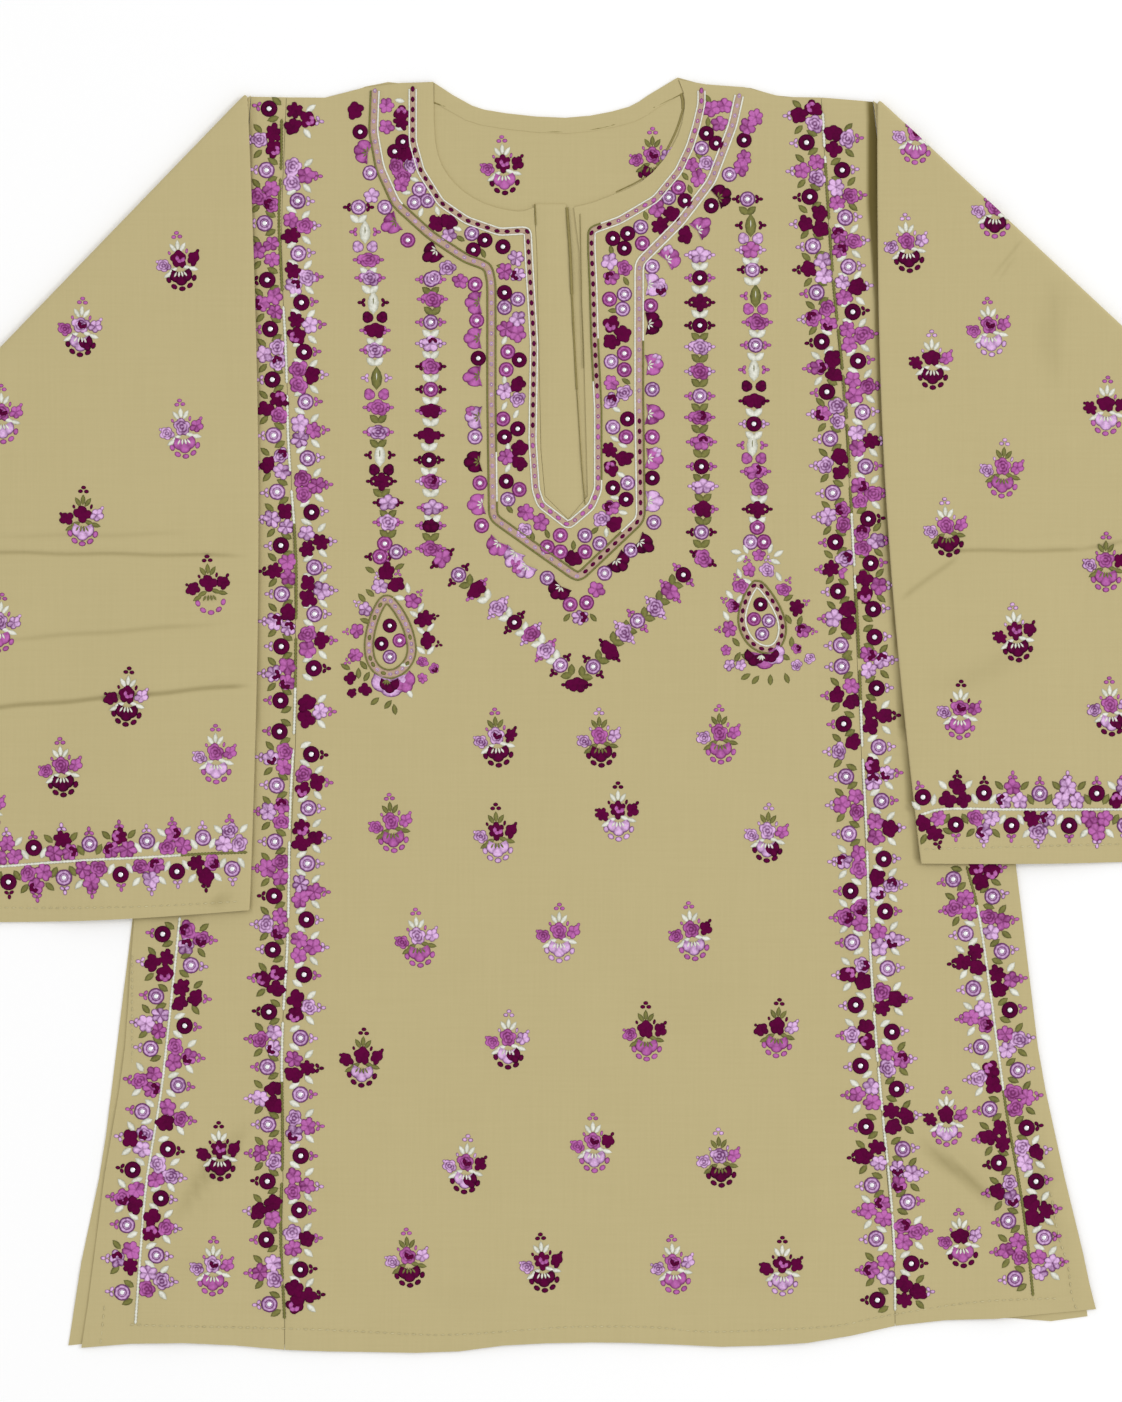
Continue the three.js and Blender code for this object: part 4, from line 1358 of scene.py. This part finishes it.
teardropRings = [
    ("wine", -105, 443), ("wine", -110, 432), ("orchid", -99, 434), ("lavender", -105, 424),
    ("wine", 121, 456), ("orchid", 117, 447), ("lavender", 126, 446), ("lavender", 122, 438),
]
teardropLeaves = {
    "olive": [(-117, 477, 60), (-99, 479, -60), (-117, 463, 50), (-120, 446, 70), (-121, 419, 40),
              (-124, 414, 0), (-119, 412, -30), (-114, 397, -50), (-106, 395, -40), (-102, 392, 10),
              (-132, 418, 60), (-122, 460, 40), (138, 447, 30), (138, 460, -60), (145, 446, -20),
              (140, 433, 0), (112, 412, -60), (118, 410, -40), (127, 410, 0), (137, 411, 20),
              (106, 433, 40), (112, 424, 60), (107, 424, -30), (136, 424, 60)],
    "white": [(-94, 466, 10), (-99, 460, 80), (-86, 454, -30), (-90, 450, 60), (-80, 442, -40),
              (-86, 440, 50), (-80, 428, -40), (-86, 428, 50), (-93, 402, 30), (-96, 419, 90),
              (106, 488, 80), (109, 484, 130), (112, 490, 20), (127, 490, -20), (132, 487, -60),
              (130, 482, -110), (108, 475, 20), (113, 470, 60), (102, 462, 40), (108, 459, -30),
              (100, 449, 30), (132, 473, 30)],
}

# The large half opened flowers below: colour, across, up, size, turn and lift
teardropFans = [
    ("lavender", -104, 410, (12.5, 10.5), 180, 0.0), ("orchid", -97, 410, (7.4, 8.2), 208, 0.1),
    ("wine", -105, 408.5, (6.4, 6.8), 180, 0.3), ("orchid", 123, 425.5, (10.5, 9.0), 190, 0.0),
    ("lavender", 129, 426, (6.8, 7.2), 225, 0.1), ("wine", 117.5, 425, (6.5, 6.6), 165, 0.25),
    ("wine", 127, 425.5, (5.6, 5.2), 200, 0.35),
]
teardropMiddles = {-1: (-105, 442), 1: (122, 442)}


def leftDropSeed(across, up):
    return ("olive", "dot") if dice.random() < 0.4 else ("lavender", "eyelet")


def rightDropEdge(side, across, up):
    return "white" if side < 0 else "olive"


def sewTeardrops():
    sewBand(teardrops["left"], lambda side, across, up: "olive", leftDropSeed, True)
    sewBand(teardrops["right"], rightDropEdge, lambda across, up: ("wine", "dot"), True)
    for colour, across, up, size in teardropFlowers:
        flower(colour, across, up, size * 1.1)
        if size > 4.1:
            middle = teardropMiddles[-1 if across < 0 else 1]
            outward = headingOf((across - middle[0], up - middle[1]))
            seeds = dice.choice((colour, "orchid"))
            trefoil(seeds, *away(across, up, outward, size + 2.2), outward, 1.0, 1.4)
    for colour, across, up in teardropRings:
        ring(colour, across, up, 4.4)
    for colour, leaves in teardropLeaves.items():
        for across, up, turn in leaves:
            sew(colour, "leaf", across, up, (1.7, 3.5), turn)
    for colour, across, up, size, turn, lift in teardropFans:
        sew(colour, "fan", across, up, size, turn, "front", lift)
    for colour, across, up in (("olive", -107, 410), ("white", 121.5, 425)):
        for turn in (130, 160, 195, 225):
            sew(colour, "stroke", *away(across, up, turn, 1.6), (0.7, 1.9), turn, "front", 0.6)


sewTeardrops()
print("teardrops sewn")


# Small scattered sprays: across, up, then the letters of their tip, fan of leaves, rose, left bud, right bud,
# side leaves, base and scallops. A base of p is a pair of colours, and n is none.

sprays = {
    "front": [
        (-40, 373, "ogllwwww"), (23, 373, "lgollgww"), (96, 375, "ogologoo"), (-104, 321, "ogooogoo"),
        (-40, 315, "wgwlwgll"), (34, 328, "wwwwwwll"), (125, 315, "lgllowpw"), (-88, 251, "owlolgoo"),
        (-2, 254, "owooowll"), (79, 255, "owoowwlo"), (-33, 189, "lwoolwpw"), (51, 194, "wgwowgoo"),
        (131, 196, "wgwwlgoo"), (-122, 178, "wgwwwglw"), (-209, 121, "wwwwwwww"), (-59, 113, "lwolwwpw"),
        (19, 126, "owoowwlo"), (96, 117, "lgllogww"), (-94, 56, "ogollgww"), (-12, 53, "wwwlwwww"),
        (68, 52, "owollwoo"), (134, 51, "wwwwwwll"), (-213, 51, "owllowoo"), (234, 142, "owwwowlo"),
        (243, 68, "owwolwow"),
    ],
    "back": [(-36, 722, "owwowwow"), (55, 727, "ogoolgww")],
    "leftFlap": [
        (-233, 663, "owwlwwww"), (-293, 623, "owlolwpw"), (-231, 561, "owllowoo"), (-292, 508, "wgwwlglo"),
        (-215, 466, "wgwwwgno"), (-343, 443, "owlolwoo"), (-265, 398, "wwwwlwww"), (-211, 363, "owolowlo"),
        (-305, 355, "owooowww"), (-352, 332, "wgwoowoo"), (-341, 570, "owolowlo"), (-372, 388, "owllowww"),
    ],
    "rightFlap": [
        (215, 740, "owollwoo"), (210, 674, "lwollwww"), (263, 695, "owolowwo"), (225, 603, "lwwwowww"),
        (260, 623, "owooowll"), (331, 575, "owwwwwlo"), (268, 537, "lgologoo"), (234, 501, "lwologww"),
        (331, 480, "ogolwgoo"), (276, 437, "lwwwwwww"), (242, 390, "wwolowoo"), (334, 392, "owollwpw"),
        (385, 528, "owolowww"), (390, 437, "wgwlogwo"), (389, 346, "owolowlo"),
    ],
}
sprayScale = 0.97
# Places in a spray, across and up from its middle, with turns where they have one
spraySeeds = ((0, 19.6), (-1.9, 17.2), (1.9, 17.2))
sprayFan = ((-3.1, 10.45, 34), (0, 12.0, 0), (3.1, 10.45, -34))
sprayLeaves = ((-7.4, -6.2, 118), (8.6, -3.6, -104), (-4.2, -3.6, 112), (4.6, -2.4, -112))
sprayStamens = ((-2.8, 150), (-0.6, 172), (1.4, 190), (3.4, 212))


def sewSpray(layer, across, up, code):
    tip, rose, leftBud, rightBud, scallop = [letterThreads[code[i]] for i in (0, 2, 3, 4, 7)]
    fanLeaves, sideLeaves = leafLetters[code[1]], leafLetters[code[5]]
    base = code[6]
    tilt = dice.uniform(-6, 6)
    angle = math.radians(tilt)

    def put(thread, form, x, y, size, turn=0.0, lift=0.0):
        x, y = x * sprayScale, y * sprayScale
        size = tuple(part * sprayScale for part in (size if isinstance(size, tuple) else (size, size)))
        sew(thread, form, across + x * math.cos(angle) - y * math.sin(angle),
            up + x * math.sin(angle) + y * math.cos(angle), size, turn + tilt, layer, lift)

    for x, y in spraySeeds:
        put(tip, "dot", x, y, (1.6, 1.25))
    for x, y, turn in sprayFan:
        put(fanLeaves, "leaf", x, y, (1.5, 3.4), turn)
    put(rose, flowerForm(rose, "rose"), 0, 3.0, (5.6, 5.6))
    if dice.random() < 0.4:
        put("wine" if rose != "wine" else "orchid", "fan", 1.0, 3.6, 3.4, 160, 0.12)
    put(leftBud, flowerForm(leftBud, "rose"), -9.8, -0.2, (4.5, 4.5), 38)
    put(leftBud, "dot", -13.6, 2.6, 1.0)
    put(rightBud, flowerForm(rightBud, "bloom"), 9.2, 2.8, (4.1, 4.7), -34)
    put(rightBud, "dot", 12.2, 7.2, (1.1, 1.4), -34)
    put(tip, "dot", -5.6, 7.4, (0.9, 1.3), 20)
    put(tip, "dot", 5.4, 7.8, (0.9, 1.7), -12)
    for x, y, turn in sprayLeaves:
        put(sideLeaves, "leaf", x, y, (1.5, 3.3), turn)
    if base != "n":
        put("lavender" if base == "p" else letterThreads[base], "fan", 0.6, -5.8, (7.2, 7.8), 180)
    if base == "p":
        put("wine", "fan", 3.2, -6.6, (4.6, 6.6), 204, 0.14)
    for x, turn in sprayStamens:
        put(sideLeaves, "stroke", x, -6.4, (0.75, 2.0), turn, 0.3)
    for lean in (-72, -36, 0, 36, 72):
        way = math.radians(lean - 90)
        put(scallop, "dot", 0.7 + 8.4 * math.cos(way), -6.6 + 9.0 * math.sin(way), (2.2, 1.6), lean)


for layer, places in sprays.items():
    for across, up, code in places:
        sewSpray(layer, across, up, code)
print("sprays sewn")


# Running stitches that hold hems, cuffs and slits

runningStitches = {
    "front": [
        [(-262, 17), (-142, 14), (-72, 10), (-22, 14), (7, 16), (57, 16), (87, 12), (170, 16), (188, 21),
         (255, 32), (300, 33)],
        [(-262, 263), (-262, 178)],
        [(-279, 27), (-281, 7)],
        [(298, 96), (303, 68), (309, 53), (310, 37), (313, 28)],
    ],
    "leftFlap": [[(-199, 275), (-250, 272), (-300, 271), (-343, 271), (-388, 273)]],
    "rightFlap": [[(222, 307), (260, 308), (300, 309), (342, 310), (414, 312)]],
}

# Dark cords of painted shade along pressed edges and where one layer's edge lies over another: layer, path
# and width
paintedShadeEdges = [
    ("back", [(-78, 762), (-46, 751), (-20, 745), (-3, 744), (16, 745), (35, 749), (52, 757),
              (74, 768)], 0.9),
    ("back", [(68, 775), (73.6, 766), (73.8, 758)], 1.8),
    ("back", [(73.8, 758), (70.5, 746.5), (65.8, 736.5), (59.5, 725)], 1.2),
    ("back", [(59.5, 725), (50, 715.5), (33, 707.5)], 0.7),
    ("front", [(-16.5, 700), (-16, 687)], 0.7),
    ("front", [(3, 698), (4, 684), (5, 671), (6, 645)], 1.7),
    ("front", [(6, 645), (7, 623), (9, 587)], 1.1),
    ("front", [(9, 587), (12, 540), (14, 517)], 0.4),
    ("front", [(11, 694), (12, 640), (13, 600)], 0.25),
]


def runStitches(layer, path):
    spots, _ = resample(softened(path, 12), 4.4)
    for spot, way in zip(spots, np.gradient(spots, axis=0)):
        sew("seam", "stroke", *spot, (0.45, 1.5), headingOf(way), layer, -0.05)


for layer, lines in runningStitches.items():
    for path in lines:
        runStitches(layer, path)
# the edge cords are painted shade, not stitching
for layer, path, width in paintedShadeEdges:
    cord("edge", softened(path, 8), width, 0.25, layer)
print("running stitches sewn")


# Thread materials: name, light and dark colour, slot, roughness and gloss

threads = {
    "wine": ("wineRayonFloss", "#61043d", "#33031f", "wine_thread", 0.5, 0.03),
    "orchid": ("orchidRayonFloss", "#c268b4", "#701a5c", "orchid_thread", 0.4, 0.25),
    "lavender": ("lavenderRayonFloss", "#e8bcec", "#6a3268", "lavender_thread", 0.4, 0.25),
    "white": ("ivoryRayonFloss", "#eeeee2", "#a0a088", "white_thread", 0.42, 0.25),
    "olive": ("oliveRayonFloss", "#7f7d40", "#47481a", "olive_thread", 0.45, 0.2),
    "couched": ("dustyPinkCouchedGround", "#bca28a", "#8e7260", "couched_ground", 0.6, 0.2),
    "seam": ("khakiSewingCotton", "#d2c89c", "#a3976a", "cotton", 0.7, 0.2),
    # edge is no thread: its cords are painted shade along pressed edges
    "edge": ("paintedShadeCottonCord", "#938756", "#6f6336", "cotton", 0.8, 0.1),
}
stitchWidth = 0.7  # real floss lies at about 0.35 mm; it is drawn twice as coarse so that it shows


def threadMaterial(name, light, dark, roughness, gloss):
    # satin stitched floss: soft sheen, stitches side by side, painted shade where they dive into the cloth
    # and between them
    material, tree, shader = newMaterial(name)
    stitch = addNode(tree, "ShaderNodeAttribute", {"attribute_name": "stitch"})
    parts = addNode(tree, "ShaderNodeSeparateXYZ", None, None, {0: stitch.outputs["Vector"]}).outputs
    phase = calculate(tree, "MULTIPLY", {1: 2 * math.pi / stitchWidth}, {0: parts[0]})
    wave = calculate(tree, "SINE", None, {0: phase})
    where = addNode(tree, "ShaderNodeTexCoord").outputs["Object"]
    fleck = calculate(tree, "MULTIPLY_ADD", {1: 0.9, 2: -0.4}, {0: noise(tree, 700.0, 2.0, where)})
    lined = calculate(tree, "MULTIPLY_ADD", {1: -0.08}, {0: wave, 2: fleck})
    toned = calculate(tree, "ADD", None, {0: lined, 1: parts[1]})
    shaded = calculate(tree, "ADD", None, {0: toned, 1: parts[2]}, clamp=True)
    colour = blend(tree, shaded, light, dark)
    dressShader(tree, shader, colour, bump(tree, 0.35, 0.15, wave), roughness, gloss)
    return material


def makeStitching(thread, material, pieceName):
    pile = sewn[thread]
    spots = np.concatenate(pile["spots"])
    faces = np.concatenate(pile["faces"])
    x, y = place(spots[:, 0], spots[:, 1])
    coords = np.column_stack([x, y, spots[:, 2] * mm])
    mesh = bpy.data.meshes.new(pieceName)
    mesh.from_pydata(coords.tolist(), [], faces.tolist())
    attribute = mesh.attributes.new("stitch", "FLOAT_VECTOR", "POINT")
    attribute.data.foreach_set("vector", np.concatenate(pile["stitch"]).ravel())
    mesh.shade_smooth()
    mesh.materials.append(material)
    piece = bpy.data.objects.new(pieceName, mesh)
    bpy.context.scene.collection.objects.link(piece)
    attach(piece, "root")
    print(pieceName, len(faces), "faces")


for thread, (name, light, dark, slotName, roughness, gloss) in threads.items():
    floss = threadMaterial(name, light, dark, roughness, gloss)
    makeStitching(thread, floss, thread + "Stitching")
silvered = plainMaterial("silveredMirror", "#f4f4f6", {"Metallic": 0.55, "Roughness": 0.22})
makeStitching("mirror", silvered, "mirrorDiscs")


# Floor and light

room = {
    "floor": "#ffffff",
    "floorSize": 9000,
    "worldStrength": 0.875,
    "keyPower": 62.0,
    "keySize": 1500,
    "keyPlace": (4.0, 1.3, 3.5),
}


def addRoom():
    clearSelection()
    bpy.ops.mesh.primitive_plane_add(size=room["floorSize"] * mm, location=(0, 0, 0))
    floor = bpy.context.object
    floor.name = "studioFloor"
    chalk = plainMaterial("paleStudioFloor", room["floor"], {"Roughness": 0.9, "Specular IOR Level": 0.1})
    floor.data.materials.append(chalk)
    world = bpy.data.worlds.new("softSky")
    world.use_nodes = True
    world.node_tree.nodes["Background"].inputs["Color"].default_value = (1, 1, 1, 1)
    world.node_tree.nodes["Background"].inputs["Strength"].default_value = room["worldStrength"]
    bpy.context.scene.world = world
    light = bpy.data.lights.new("keyLight", "AREA")
    light.shape = "SQUARE"
    light.size = room["keySize"] * mm
    light.energy = room["keyPower"]
    key = bpy.data.objects.new("keyLight", light)
    key.location = room["keyPlace"]
    key.rotation_euler = (-key.location).to_track_quat("-Z", "Y").to_euler()
    bpy.context.scene.collection.objects.link(key)
    bpy.context.scene.view_settings.view_transform = "Standard"


addRoom()
print("room lit")
